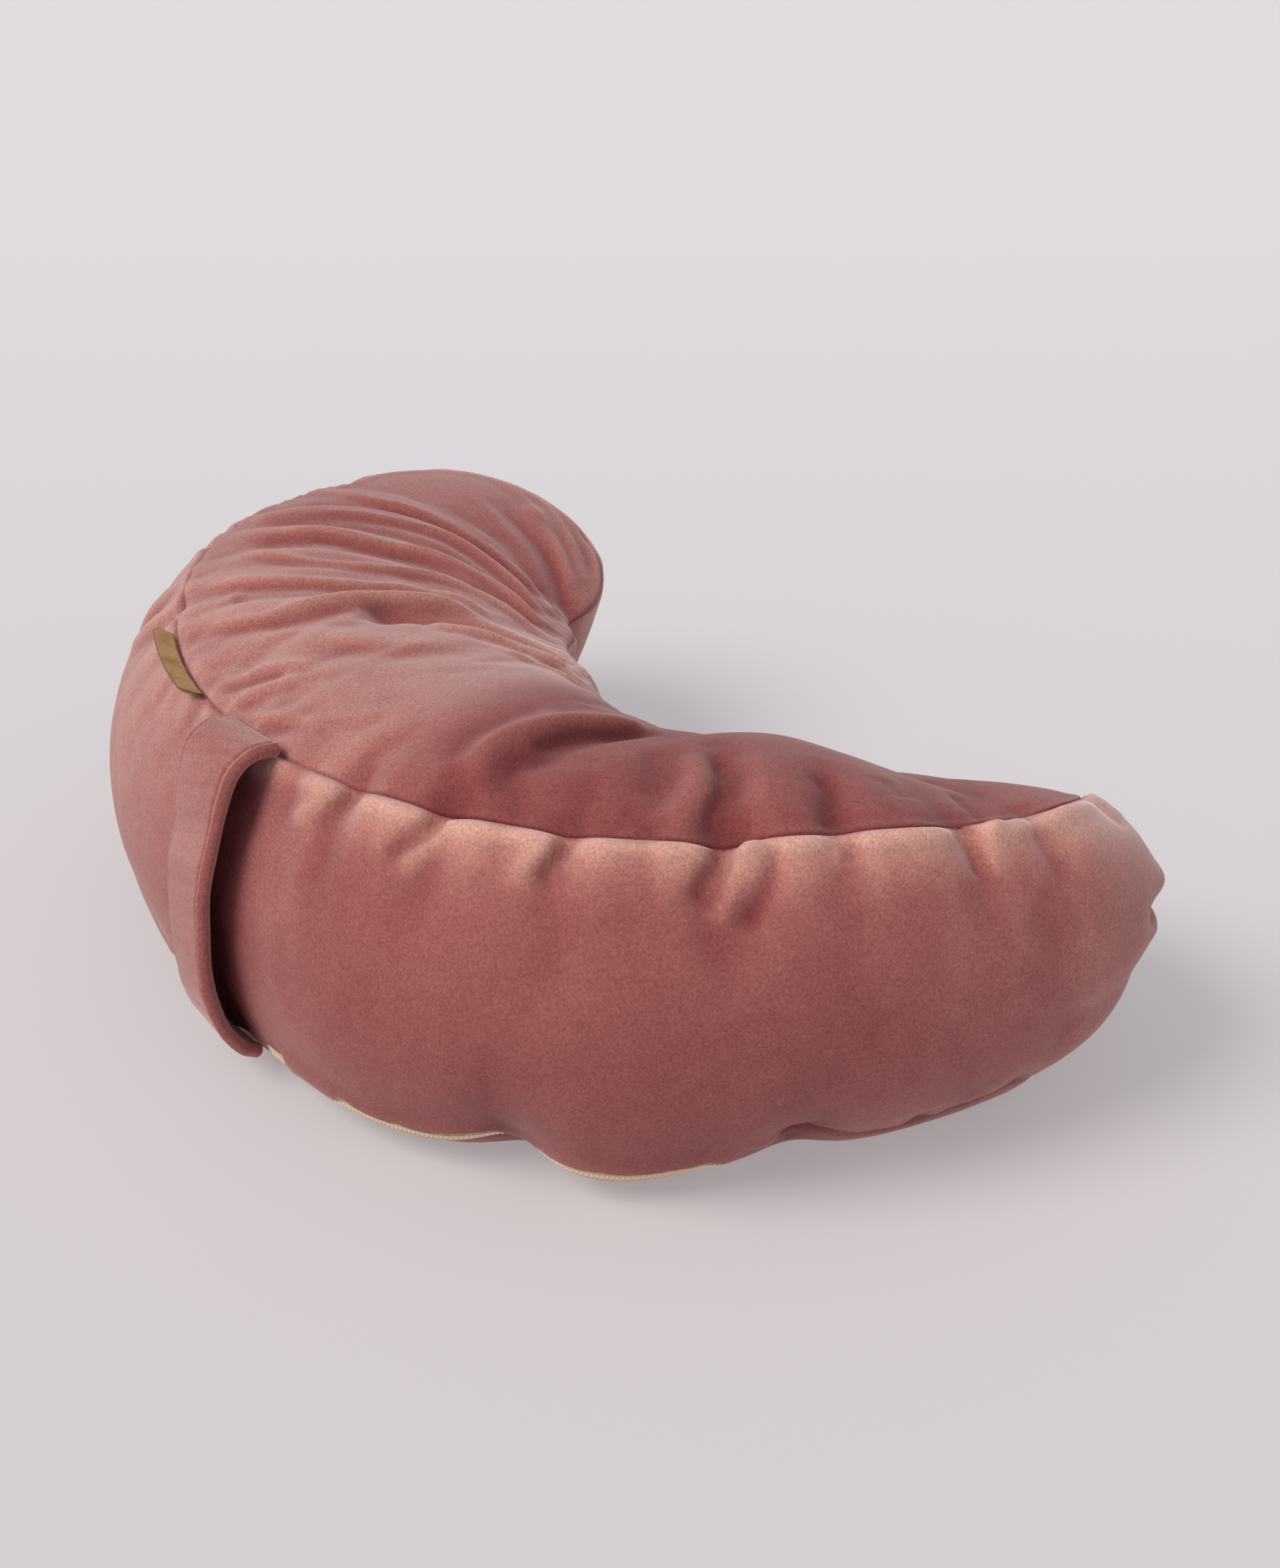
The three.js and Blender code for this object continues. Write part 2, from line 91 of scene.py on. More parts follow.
# angle, outwards, upwards, width of each wave of the bottom seam
FOOT_WAVES = [(20, 2, -1, 26), (32, -9, 3, 13), (41, 6, -2, 24), (57, -7, 4, 14)]

# angle, depth, width, share of the band's height of each pleat under the top seam
PLEATS = [(-47, 2, 7, 0.3), (-41, 2.5, 7, 0.35), (-33, 2, 7, 0.35), (14, 1.4, 7, 0.3),
          (24, 2.6, 8, 0.3), (36, 1.6, 8, 0.25), (50, 4.5, 9, 0.38), (60, 1.4, 8, 0.25),
          (72, 2.8, 9, 0.32)]

# Folds of the top panel: three places as angle and radius, height, width, closing towards the end
FOLDS = [
    (-74, 190, -80, 115, -74, 67, 4, 9, 0.5), (-66, 175, -76, 122, -71, 68, -3, 8, 0.5),
    (-59, 188, -71, 132, -66, 66, 5, 8, 0.5), (-56, 172, -62, 120, -56, 64, -4, 8, 0.5),
    (-52, 184, -54, 122, -46, 62, 5, 8, 0.5), (-48, 168, -48, 116, -39, 60, -4, 8, 0.5),
    (-43, 174, -42, 115, -31, 60, 4, 8, 0.6), (-38, 196, -35, 155, -37, 122, 4, 9, 0.8),
    (-29, 198, -23, 150, -29, 92, 5, 9, 0.8), (-19, 124, -17, 96, -3, 68, -9, 8, 0.7),
    (-14, 116, -12, 94, 4, 72, 5, 9, 0.8), (-13, 154, -6, 126, -8, 96, 3, 8, 1),
    (-92, 134, -89, 98, -80, 70, -3, 7, 0.6), (-98, 128, -95, 102, -87, 78, 3, 6, 0.6),
    (-105, 124, -101, 106, -93, 84, 3, 6, 0.6), (37, 126, 28, 152, 24, 190, 7, 9, 1),
    (40, 128, 33, 156, 28, 178, -3.5, 7, 1), (44, 128, 39, 158, 33, 182, 2.5, 9, 1),
    (42, 134, 44, 155, 44, 178, -2, 9, 1), (47, 142, 48, 168, 46, 190, 2, 9, 1),
    (49, 140, 51, 168, 50, 194, -3, 7, 1), (55, 138, 55, 164, 54, 186, 2, 10, 1),
    (63, 150, 61, 172, 60, 194, -2.5, 9, 1), (76, 150, 71, 170, 68, 190, -1.5, 9, 1),
    (84, 152, 79, 170, 75, 190, -2, 9, 1),
]

# Sharp ridges and creases of the top panel: height, width at its start and end, and the places
# that it runs through, each an angle and a radius
SHARP_FOLDS = [
    (1.9, 3.4, 2.3, [(-73, 192), (-73, 165), (-76, 138), (-78, 108), (-76, 82), (-66, 66), (-52, 56)]),
    (1.9, 3.4, 2.3, [(-59, 178), (-65, 146), (-70, 120), (-69, 98), (-65, 78), (-56, 64), (-42, 56)]),
    (1.9, 3.4, 2.3, [(-50, 183), (-52, 150), (-52, 125), (-54, 104), (-53, 84), (-47, 68), (-36, 58)]),
    (1.9, 3.4, 2.3, [(-46, 185), (-40, 155), (-38, 128), (-41, 105), (-41, 84), (-35, 70), (-24, 60)]),
    (1.9, 3.4, 2.6, [(-40, 197), (-35, 178), (-32, 155), (-31, 132), (-32, 112), (-30, 92), (-23, 77)]),
    (1.7, 3.5, 2.5, [(-32, 197), (-30, 184), (-31, 170)]),
    (2.5, 3.8, 2.8, [(-27, 197), (-22, 172), (-22, 150), (-24, 128), (-25, 108), (-25, 94), (-19, 80)]),
    (-4.6, 6.0, 4.0, [(-23, 132), (-17, 116), (-14, 104), (-11, 92), (-6, 82), (1, 74), (9, 70)]),
    (2.0, 4.0, 2.5, [(-20, 118), (-12, 108), (-8, 97), (-4, 87), (1, 80), (8, 77), (16, 75)]),
    (1.0, 5.0, 4.0, [(-12, 160), (-9, 147), (-5, 135), (-3, 121), (-4, 108)]),
    (0.8, 2.0, 1.8, [(-4, 91), (2, 84), (9, 80), (17, 77)]),
    (0.8, 2.0, 1.8, [(-1, 99), (6, 91), (13, 85), (21, 81)]),
    (1.3, 3.5, 3.0, [(-13, 196), (-11, 184), (-9, 172), (-6, 160)]),
    (-1.3, 3.0, 3.0, [(-11, 196), (-9, 184), (-7, 172)]),
    (1.1, 3.0, 3.0, [(-8, 196), (-7, 184), (-5, 170)]),
    (0.9, 3.0, 3.0, [(-5, 195), (0, 187), (5, 181)]),
    (2.6, 4.5, 3.0, [(24, 190), (25, 173), (28, 157), (31, 145), (36, 132), (40, 121)]),
    (-2.2, 2.8, 3.2, [(41, 124), (37, 136), (33, 147), (31, 156), (29, 168)]),
    (1.3, 4.5, 3.5, [(31, 171), (34, 159), (36, 149), (39, 138), (43, 126)]),
    (-1.0, 5.0, 5.0, [(41, 144), (42, 158), (43, 171), (42, 184)]),
    (0.8, 5.0, 5.0, [(43, 195), (45, 187), (47, 176), (47, 165), (46, 148)]),
    (-2.6, 3.0, 3.0, [(49, 144), (50, 160), (50, 175), (49, 186), (50, 196)]),
    (0.7, 5.0, 5.0, [(54, 150), (54, 170), (53, 190)]),
    (-1.8, 3.0, 3.2, [(60, 164), (61, 175), (60, 188), (60, 196)]),
    (-0.8, 5.0, 5.0, [(68, 164), (69, 180)]),
    (-1.7, 2.8, 2.8, [(77, 166), (76, 180), (75, 194)]),
    (0.9, 3.5, 2.4, [(-97, 172), (-99, 145), (-98, 120), (-96, 100), (-92, 83), (-84, 68)]),
    (-1.4, 3.5, 2.4, [(-92, 136), (-92, 114), (-91, 97), (-86, 80), (-76, 65)]),
    (0.9, 4.0, 2.4, [(-90, 153), (-88, 119), (-87, 101), (-82, 81), (-71, 64)]),
    (-0.8, 4.0, 2.4, [(-82, 150), (-83, 120), (-82, 98), (-78, 80), (-68, 64)]),
    (0.8, 3.0, 2.2, [(-99, 160), (-102, 136), (-101, 106), (-98, 89), (-92, 76)]),
    (-1.0, 3.0, 2.2, [(-97, 130), (-98, 106), (-95, 88), (-90, 75)]),
    (0.7, 3.0, 2.2, [(-104, 149), (-106, 121), (-105, 98), (-98, 80)]),
    (-0.8, 3.0, 2.2, [(-104, 132), (-103, 108), (-101, 88), (-96, 76)]),
]

# A ridge of the panel is hollowed on its right by a bell: its depth as a share of the ridge's
# height, how many of the ridge's end widths away it lies, and its own width in widths of the ridge.
# The ridges and creases of the panel fade in and out over these shares of their length.
HOLLOW = dict(share=0.45, away=2, wide=1.1)
FADE_IN = 0.25
FADE_OUT = 0.2
SHARP_POWER = 1.5

# How far from a seam a sharp fold reaches its full height
PANEL_FOLD_FADE = 3
BAND_FOLD_FADE = 2.5

# Ridges and creases of the side band: height, width, and the places that each runs through, an
# angle and a distance down from the top seam. Angles past the tips' 80 degrees go on round them.
BAND_FOLDS = [
    (3.0, 3.6, [(25.3, 2), (24.5, 9), (23, 19)]), (-2.6, 3.2, [(23.5, 1), (22.5, 8), (21, 16)]),
    (2.4, 3.2, [(34.6, 2), (34, 8), (33, 15)]), (-2.2, 3.0, [(36.2, 1), (35.6, 8), (35, 14)]),
    (3.6, 3.6, [(52.3, 3), (51.2, 12), (49.8, 23)]), (-3.6, 3.2, [(54, 5), (53.4, 14), (52, 24)]),
    (-2.8, 3.6, [(49.7, 1), (49, 8), (48, 17)]), (2.0, 3.0, [(60.6, 2), (59.6, 8)]),
    (-1.8, 2.8, [(61.8, 1), (61.2, 7)]),
    (2.4, 3.2, [(75.3, 2), (74.6, 8), (74, 16)]), (-3.0, 2.8, [(73.4, 3), (72.8, 9), (72.6, 16)]),
    (1.8, 3.2, [(12.6, 2), (11.4, 9), (10, 15)]), (-1.8, 3.0, [(14.2, 1), (13.2, 8), (12.4, 13)]),
    (1.8, 4.0, [(-36, 2), (-38, 13), (-41, 31)]), (-1.6, 3.5, [(-33.5, 2), (-35, 12), (-38, 28)]),
    (1.6, 4.0, [(-47.5, 3), (-46, 17), (-43.5, 27)]), (-1.6, 3.5, [(-44, 2), (-42.8, 16), (-42, 26)]),
    (-2.2, 3.0, [(112, 1), (116, 6), (118, 14)]), (1.4, 3.0, [(118, 1), (123, 7), (125, 13)]),
    (-10.0, 2.8, [(113, 49.5), (124, 49), (142, 48)]), (2.6, 5.5, [(120, 40.5), (148, 39.5)]),
    (1.8, 6.0, [(118, 59), (146, 58)]),
    (-3.2, 13.0, [(82, 76), (100, 72), (125, 70), (150, 69)]),
    (6.0, 11.0, [(-125, 13), (-165, 13), (-205, 13)]),
]

# The same for the foot of the band, with distances up from the bottom seam
FOOT_FOLDS = [(-2.5, 3.5, [(57.5, 1), (56.5, 8), (55.5, 14)]), (1.8, 5.0, [(54.5, 3), (53.5, 10)])]

# Where the fabric above the zip ends: angles, and how far above the seam. It hides the zip where
# it goes below the seam.
ZIP_COVER = np.array([(6, -1), (13, -1), (17, 5), (30.5, 5), (32, -1), (34, -1), (35.5, 5),
                      (48.5, 5), (50.5, -1)], float)

# The lip of that fabric: the angles between which it stands, its height where it hides the zip and
# where the zip shows, the slope of its edge, and where and how it runs out upwards
ZIP_LIP = dict(start=7.5, end=52.5, soft=2, hiding=1.5, beside=1.3, steep=1.1, full=6, fade=6.0)

# Grooves and rolled lips of the seams: heights on the far and near arm or at the foot, how far
# from the seam they lie and how wide they are
GROOVE = dict(far=1.1, near=0.8, foot=1.0, wide=1.2)
BAND_LIP = dict(far=0.5, near=2.4, away=4.0, wide=3.6)
PANEL_LIP = dict(far=0.5, near=-0.4, away=4.5, wide=3.5)
FOOT_LIP = dict(high=0.4, away=4.0, wide=3.0)

# Small gathers that run away from the seams: height, spacing, how far they reach, and a seed.
# They lean a little to one side, and start at full height this far from the seam.
PANEL_GATHERS = dict(high=0.45, spacing=4.2, reach=14, seed=3)
BAND_GATHERS = dict(far=0.7, near=0.45, spacing=4.6, reach=9, seed=7)
FOOT_GATHERS = dict(high=0.35, spacing=5.5, reach=10, seed=11)
GATHER_LEAN = 0.12
GATHER_START = 3

# How densely the cushion's surface is divided: first for the simulation, then REFINE times finer.
# Lines crowd towards the seams by a power on the panel and by a share of a sine on the band.
COARSE = dict(along=96, tip=18, panel=20, band=26)
REFINE = 3
PANEL_CROWDING = 1.3
BAND_CROWDING = 0.5
BASE_SHARES = [0, 0.05, 0.1, 0.15, 1 - FLAT_SHARE, 0.45, 0.7, 1]

# The sewn shape of the cushion


def bell(distance, wide):
    """One at no distance, falling away as exp of minus the square of distance over width."""
    return np.exp(-(distance / wide) ** 2)


def blend_between(a, b, t):
    """The straight mix of a and b, a at t = 0 and b at t = 1."""
    return a + (b - a) * t


def column(name, angle):
    """One column of SECTIONS at each angle: a cubic between rows that takes its slope at a row
    from the rows on both sides of it."""
    rows, values = SECTIONS["angle"], SECTIONS[name]
    last = len(rows) - 1
    k = np.clip(np.searchsorted(rows, angle, side="left") - 1, 0, last - 1)
    span = rows[k + 1] - rows[k]
    t = np.clip((angle - rows[k]) / span, 0, 1)

    def slope(j):
        before, after = np.maximum(j - 1, 0), np.minimum(j + 1, last)
        return span * (values[after] - values[before]) / (rows[after] - rows[before])

    rise = values[k + 1] - values[k]
    cubic = slope(k) + slope(k + 1) - 2 * rise
    square = 3 * rise - 2 * slope(k) - slope(k + 1)
    return values[k] + slope(k) * t + square * t ** 2 + cubic * t ** 3


def waves(rows, place, angle):
    """The sum of bells at the rows' angles, with heights from one place of each row."""
    seam_radius = MIDDLE_RADIUS + SECTIONS["outer"][0]
    return sum(row[place] * bell(np.radians(angle - row[0]) * seam_radius, row[3]) for row in rows)


def plan_direction(angle):
    """The level unit direction away from the turning centre at each angle."""
    turn = np.radians(angle)
    return np.stack([np.sin(turn), -np.cos(turn)], -1)


def half_sections(angle, turn):
    """Widths, heights and directions of the half sections at each angle and turn. Turn is 0 on
    the outer side, 180 on the inner one, and between the two round a tip."""
    outwards = 0.5 + 0.5 * np.cos(np.radians(turn))
    endwards = np.sin(np.radians(turn)) ** 2

    def sides(outer, inner, end):
        a, b = column(inner, angle), column(outer, angle)
        goal = np.where(angle > 0, NEAR_TIP[end], FAR_TIP[end])
        return blend_between(a, b, outwards) + endwards * (goal - 0.5 * (a + b))

    outer_only = outwards ** OUTER_POWER
    across = plan_direction(angle)
    ahead = plan_direction(angle + 90) * np.where(angle > 0, 1.0, -1.0)[:, None]
    cosine, sine = np.cos(np.radians(turn))[:, None], np.sin(np.radians(turn))[:, None]
    width = column("outer", angle) + column("inner", angle)
    chord = blend_between(column("outer_seam", angle), column("inner_seam", angle),
                          column("outer", angle) / width)
    return dict(
        angle=angle, turn=turn, outer_only=outer_only, spine=across * MIDDLE_RADIUS,
        direction=across * cosine + ahead * sine, chord=chord, dome=column("dome", angle),
        reach=sides("outer", "inner", "reach"),
        seam=sides("outer_seam", "inner_seam", "seam"),
        inset=outer_only * waves(SEAM_DIPS, 2, angle),
        drop=outer_only * waves(SEAM_DIPS, 1, angle),
        spread=sides("spread", "tuck", "tuck"), foot=sides("foot", "inner_foot", "foot"),
        wave_out=outer_only * waves(FOOT_WAVES, 1, angle),
        wave_up=outer_only * waves(FOOT_WAVES, 2, angle),
        bulge=sides("bulge", "inner_bulge", "bulge"),
    )


def fold_path(fold, steps=12):
    """Points of a curve through the three places of a fold: a cubic for each half, whose slopes
    are half the step to the neighbour at the ends and half the whole way in the middle."""
    places = [plan_direction(np.array(fold[i])) * fold[i + 1] for i in (0, 2, 4)]
    first, middle, last = places
    t = np.linspace(0, 2, steps + 1)[:, None]
    slope = 0.5 * (last - first)

    def piece(a, b, slope_a, slope_b, s):
        return ((2 * s ** 3 - 3 * s ** 2 + 1) * a + (s ** 3 - 2 * s ** 2 + s) * slope_a
                + (3 * s ** 2 - 2 * s ** 3) * b + (s ** 3 - s ** 2) * slope_b)

    early = piece(first, middle, 0.5 * (middle - first), slope, np.clip(t, 0, 1))
    late = piece(middle, last, slope, 0.5 * (last - middle), np.clip(t - 1, 0, 1))
    return np.where(t <= 1, early, late)


def distance_to_path(place, path):
    """The distance of each place to a path, and the share of the path where it is nearest."""
    nearest = np.full(place.shape[:-1], np.inf)
    share = np.zeros(place.shape[:-1])
    for step in range(len(path) - 1):
        leg = path[step + 1] - path[step]
        offset = place - path[step]
        t = np.clip((offset @ leg) / (leg @ leg), 0, 1)
        distance = np.linalg.norm(offset - t[..., None] * leg, axis=-1)
        closer = distance < nearest
        nearest = np.where(closer, distance, nearest)
        share = np.where(closer, (step + t) / (len(path) - 1), share)
    return nearest, share


def smooth_path(path, count):
    """Evenly spaced points on a cubic curve through the path's points."""
    ends = np.concatenate([[2 * path[0] - path[1]], path, [2 * path[-1] - path[-2]]])
    dense = []
    for k in range(len(path) - 1):
        a, b, c, d = ends[k:k + 4]
        t = np.linspace(0, 1, 24, endpoint=False)[:, None]
        dense.append(0.5 * (2 * b + (c - a) * t + (2 * a - 5 * b + 4 * c - d) * t ** 2
                            + (3 * b - a - 3 * c + d) * t ** 3))
    dense = np.concatenate(dense + [path[-1:]])
    length = np.concatenate([[0], np.cumsum(np.linalg.norm(np.diff(dense, axis=0), axis=1))])
    even = np.linspace(0, length[-1], count)
    return np.stack([np.interp(even, length, dense[:, k]) for k in (0, 1)], -1), length[-1]


def shifted_right(path, distance):
    """The path moved sideways to its right."""
    ahead = np.gradient(path, axis=0)
    ahead /= np.linalg.norm(ahead, axis=1)[:, None]
    return path + distance * np.stack([ahead[:, 1], -ahead[:, 0]], -1)


def sharp_heights(place, folds, on_panel=False):
    """The sum of sharp folds at each place: exp of minus the power SHARP_POWER of distance over
    width. Those of the panel fade at both ends, and its ridges are hollowed on the right by a bell
    about a copy of their path, so that they lean over like a fold of cloth."""
    flat = place.reshape(-1, 2)
    height = np.zeros(len(flat))
    for high, wide_start, wide_end, path in folds:
        path, _ = smooth_path(np.array(path, float), 24)
        reach = 5 * max(wide_start, wide_end)
        near = np.all((flat > path.min(0) - reach) & (flat < path.max(0) + reach), axis=1)
        nearest, share = distance_to_path(flat[near], path)
        wide = blend_between(wide_start, wide_end, share)
        profile = np.exp(-(nearest / wide) ** SHARP_POWER)
        if on_panel:
            if high > 0:
                side = shifted_right(path, HOLLOW["away"] * wide_end)
                beyond, _ = distance_to_path(flat[near], side)
                profile = profile - HOLLOW["share"] * bell(beyond, HOLLOW["wide"] * wide)
            profile = profile * smooth_step(share / FADE_IN) * smooth_step((1 - share) / FADE_OUT)
        height[near] += high * profile
    return height.reshape(place.shape[:-1])


def fold_height(place, folds):
    """The sum of the folds' heights at each place on the plan, a bell across each path."""
    height = np.zeros(place.shape[:-1])
    for fold in folds:
        nearest, share = distance_to_path(place, fold_path(fold))
        height += fold[6] * bell(nearest, fold[7] * blend_between(1, fold[8], share))
    return height


def panel(half, v):
    """The top panel: a dome over the straight line between the seams, with its folds."""
    spine, direction = half["spine"][:, None], half["direction"][:, None]
    one = {k: half[k][:, None] for k in ("reach", "inset", "chord", "seam", "dome", "drop")}
    dip = v ** DIP_POWER
    place = spine + direction * (v * one["reach"] - dip * one["inset"])[..., None]
    rise = blend_between(one["chord"], one["seam"], v) - dip * one["drop"]
    rise = rise + one["dome"] * (1 - v ** DOME_POWER)
    rise = rise + FOLD_SHARE * fold_height(place, FOLDS) * (1 - v ** FOLD_END_POWER)
    return np.concatenate([place, rise[..., None]], -1)


def band(half, v):
    """The side band: an arc of a circle through both seams, dented by pleats under the top one and
    waved at its foot."""
    spine, direction = half["spine"][:, None], half["direction"][:, None]
    one = {k: half[k][:, None] for k in ("reach", "inset", "seam", "drop", "spread", "foot",
                                         "bulge", "angle", "outer_only", "wave_out", "wave_up")}
    slant_out, slant_up = one["spread"], one["foot"] - one["seam"]
    straight = np.hypot(slant_out, slant_up)
    half_angle = 2 * np.arctan(2 * one["bulge"] / straight)
    swing = blend_between(-half_angle, half_angle, v)
    along = 0.5 + 0.5 * np.sin(swing) / np.sin(half_angle)
    swell = one["bulge"] * (np.cos(swing) - np.cos(half_angle)) / (1 - np.cos(half_angle))
    out = slant_out * along - slant_up / straight * swell
    up = slant_up * along + slant_out / straight * swell
    seam_radius = MIDDLE_RADIUS + one["reach"]
    for angle, depth, wide, reach in PLEATS:
        distance = np.radians(one["angle"] - angle) * seam_radius
        fade = np.maximum(0, 1 - v / reach) ** PLEAT_POWER * np.minimum(1, v * PLEAT_START)
        out = out - one["outer_only"] * depth * bell(distance, wide) * fade
    dip = (1 - v) ** DIP_POWER
    low = v ** FOOT_POWER
    out = out - dip * one["inset"] + low * one["wave_out"]
    up = up - dip * one["drop"] + low * one["wave_up"]
    place = spine + direction * (one["reach"] + out)[..., None]
    return np.concatenate([place, (one["seam"] + up)[..., None]], -1)


def base(half, v):
    """The base panel: flat on the floor in the middle, and from FLAT_SHARE of the width on curling
    up to the bottom seam by a power."""
    spine, direction = half["spine"][:, None], half["direction"][:, None]
    share = 1 - v
    width = half["reach"] + half["spread"] + half["wave_out"]
    place = spine + direction * (share * width[:, None])[..., None]
    curl = np.maximum(0, (share - FLAT_SHARE) / (1 - FLAT_SHARE)) ** CURL_POWER
    height = (half["foot"] + half["wave_up"])[:, None] * curl
    return np.concatenate([place, height[..., None]], -1)


def refine_steps(knots, times):
    """The knots with the gaps between them divided evenly that many times."""
    x = np.arange((len(knots) - 1) * times + 1) / times
    return np.interp(x, np.arange(len(knots)), knots)


def cushion_grid(times):
    """The whole cushion as a ring of lines from the middle on top to the middle underneath, each
    division of COARSE made times finer. Gives the points, the half sections, and for each column
    its part (0 panel, 1 band, 2 base) and its share down that part."""
    along = np.linspace(-TIP_ANGLE, TIP_ANGLE, COARSE["along"] * times + 1)
    round_tip = np.linspace(0, 180, COARSE["tip"] * times + 1)[1:-1]
    level = np.zeros_like(along)
    tip = np.full_like(round_tip, TIP_ANGLE)
    angle = np.concatenate([along, tip, along[::-1], -tip])
    turn = np.concatenate([level, round_tip, level + 180, round_tip[::-1]])
    half = half_sections(angle, turn)
    x = np.linspace(0, 1, COARSE["panel"] * times + 1)
    panel_v = 1 - (1 - x) ** PANEL_CROWDING
    x = np.linspace(0, 1, COARSE["band"] * times + 1)
    band_v = x - BAND_CROWDING * np.sin(2 * np.pi * x) / (2 * np.pi)
    base_v = refine_steps(BASE_SHARES, times)
    points = np.concatenate([panel(half, panel_v[None, :-1]), band(half, band_v[None, :-1]),
                             base(half, base_v[None, :])], 1)
    part = np.repeat([0, 1, 2], [len(panel_v) - 1, len(band_v) - 1, len(base_v)])
    share = np.concatenate([panel_v[:-1], band_v[:-1], base_v])
    return points, half, part, share


def grid_numbers(lines, columns, times):
    """A number for each place of the grid, the same for places that are one point: the lines of
    the outer and inner side share their first and last point, and those round a tip the end's."""
    along = COARSE["along"] * times
    tip = COARSE["tip"] * times - 1
    spine = np.concatenate([np.arange(along + 1), np.full(tip, along),
                            np.arange(along, -1, -1), np.zeros(tip, int)])
    numbers = np.empty((lines, columns), int)
    numbers[:, 0] = spine
    numbers[:, -1] = along + 1 + spine
    inner = np.arange(lines * (columns - 2)).reshape(lines, columns - 2)
    numbers[:, 1:-1] = 2 * (along + 1) + inner
    return numbers


def ring_faces(numbers):
    """Squares between neighbouring lines of a closed ring. A square whose first or last side is
    one point becomes a triangle."""
    a, b = numbers[:, :-1], numbers[:, 1:]
    c, d = np.roll(numbers, -1, 0)[:, 1:], np.roll(numbers, -1, 0)[:, :-1]
    squares = np.stack([a, b, c, d], -1).reshape(-1, 4)
    no_start = squares[:, 0] == squares[:, 3]
    no_end = squares[:, 1] == squares[:, 2]
    whole = squares[~no_start & ~no_end]
    start = squares[no_start & ~no_end][:, [0, 1, 2]]
    end = squares[no_end & ~no_start][:, [0, 1, 3]]
    return whole, np.concatenate([start, end])


def points_by_number(grid, numbers):
    """One value for each number, taken from the places of the grid."""
    values = np.zeros((numbers.max() + 1,) + grid.shape[2:])
    values[numbers.ravel()] = grid.reshape((-1,) + grid.shape[2:])
    return values


def triangles_of(squares, triangles):
    """Every face as triangles."""
    return np.concatenate([squares[:, [0, 1, 2]], squares[:, [0, 2, 3]], triangles])


def scatter_sum(count, places, values):
    """The sum of the values that belong to each place."""
    return np.stack([np.bincount(places, values[:, k], count) for k in range(values.shape[1])], -1)


def point_normals(points, triangles):
    """Unit normals at the points, from the area-weighted normals of the triangles round each."""
    a, b, c = (points[triangles[:, k]] for k in range(3))
    face = np.cross(b - a, c - a)
    total = scatter_sum(len(points), triangles.T.ravel(), np.tile(face, (3, 1)))
    return total / np.maximum(np.linalg.norm(total, axis=1), 1e-12)[:, None]


def smoothed(values, triangles, times):
    """Each point's value moved half way to the mean of its neighbours, that many times."""
    edges = np.concatenate([triangles[:, [0, 1]], triangles[:, [1, 2]], triangles[:, [2, 0]]])
    start, end = edges[:, 0], edges[:, 1]
    count = np.bincount(start, minlength=len(values)).astype(float)[:, None]
    for _ in range(times):
        mean = scatter_sum(len(values), start, values[end]) / np.maximum(count, 1)
        values = 0.5 * (values + mean)
    return values


def mesh_object(name, points, squares, triangles=()):
    """A smooth-shaded mesh object from points in millimetres about the turning centre."""
    mesh = bpy.data.meshes.new(name)
    faces = [list(f) for f in np.asarray(squares).tolist()]
    faces += [list(f) for f in np.asarray(triangles).tolist()]
    placed = (points + TURNING_CENTRE) * MILLIMETRE
    mesh.from_pydata(placed.tolist(), [], faces)
    mesh.polygons.foreach_set("use_smooth", np.ones(len(mesh.polygons), bool))
    mesh.update()
    piece = bpy.data.objects.new(name, mesh)
    bpy.context.scene.collection.objects.link(piece)
    return piece


def store(piece, name, values):
    """A value for each point of the mesh, which materials can read."""
    attribute = piece.data.attributes.new(name, "FLOAT", "POINT")
    attribute.data.foreach_set("value", np.ascontiguousarray(values, np.float32))


# The velvet cover: simulated, then refined

# Frames, pressure and spare share of the trial, the largest move of a point in millimetres, and how
# much of the broad swelling is taken out again, after that many rounds of smoothing
CLOTH = dict(frames=20, pressure=4.0, spare=0.02, cap=6.0, broad=0.75, rounds=12)


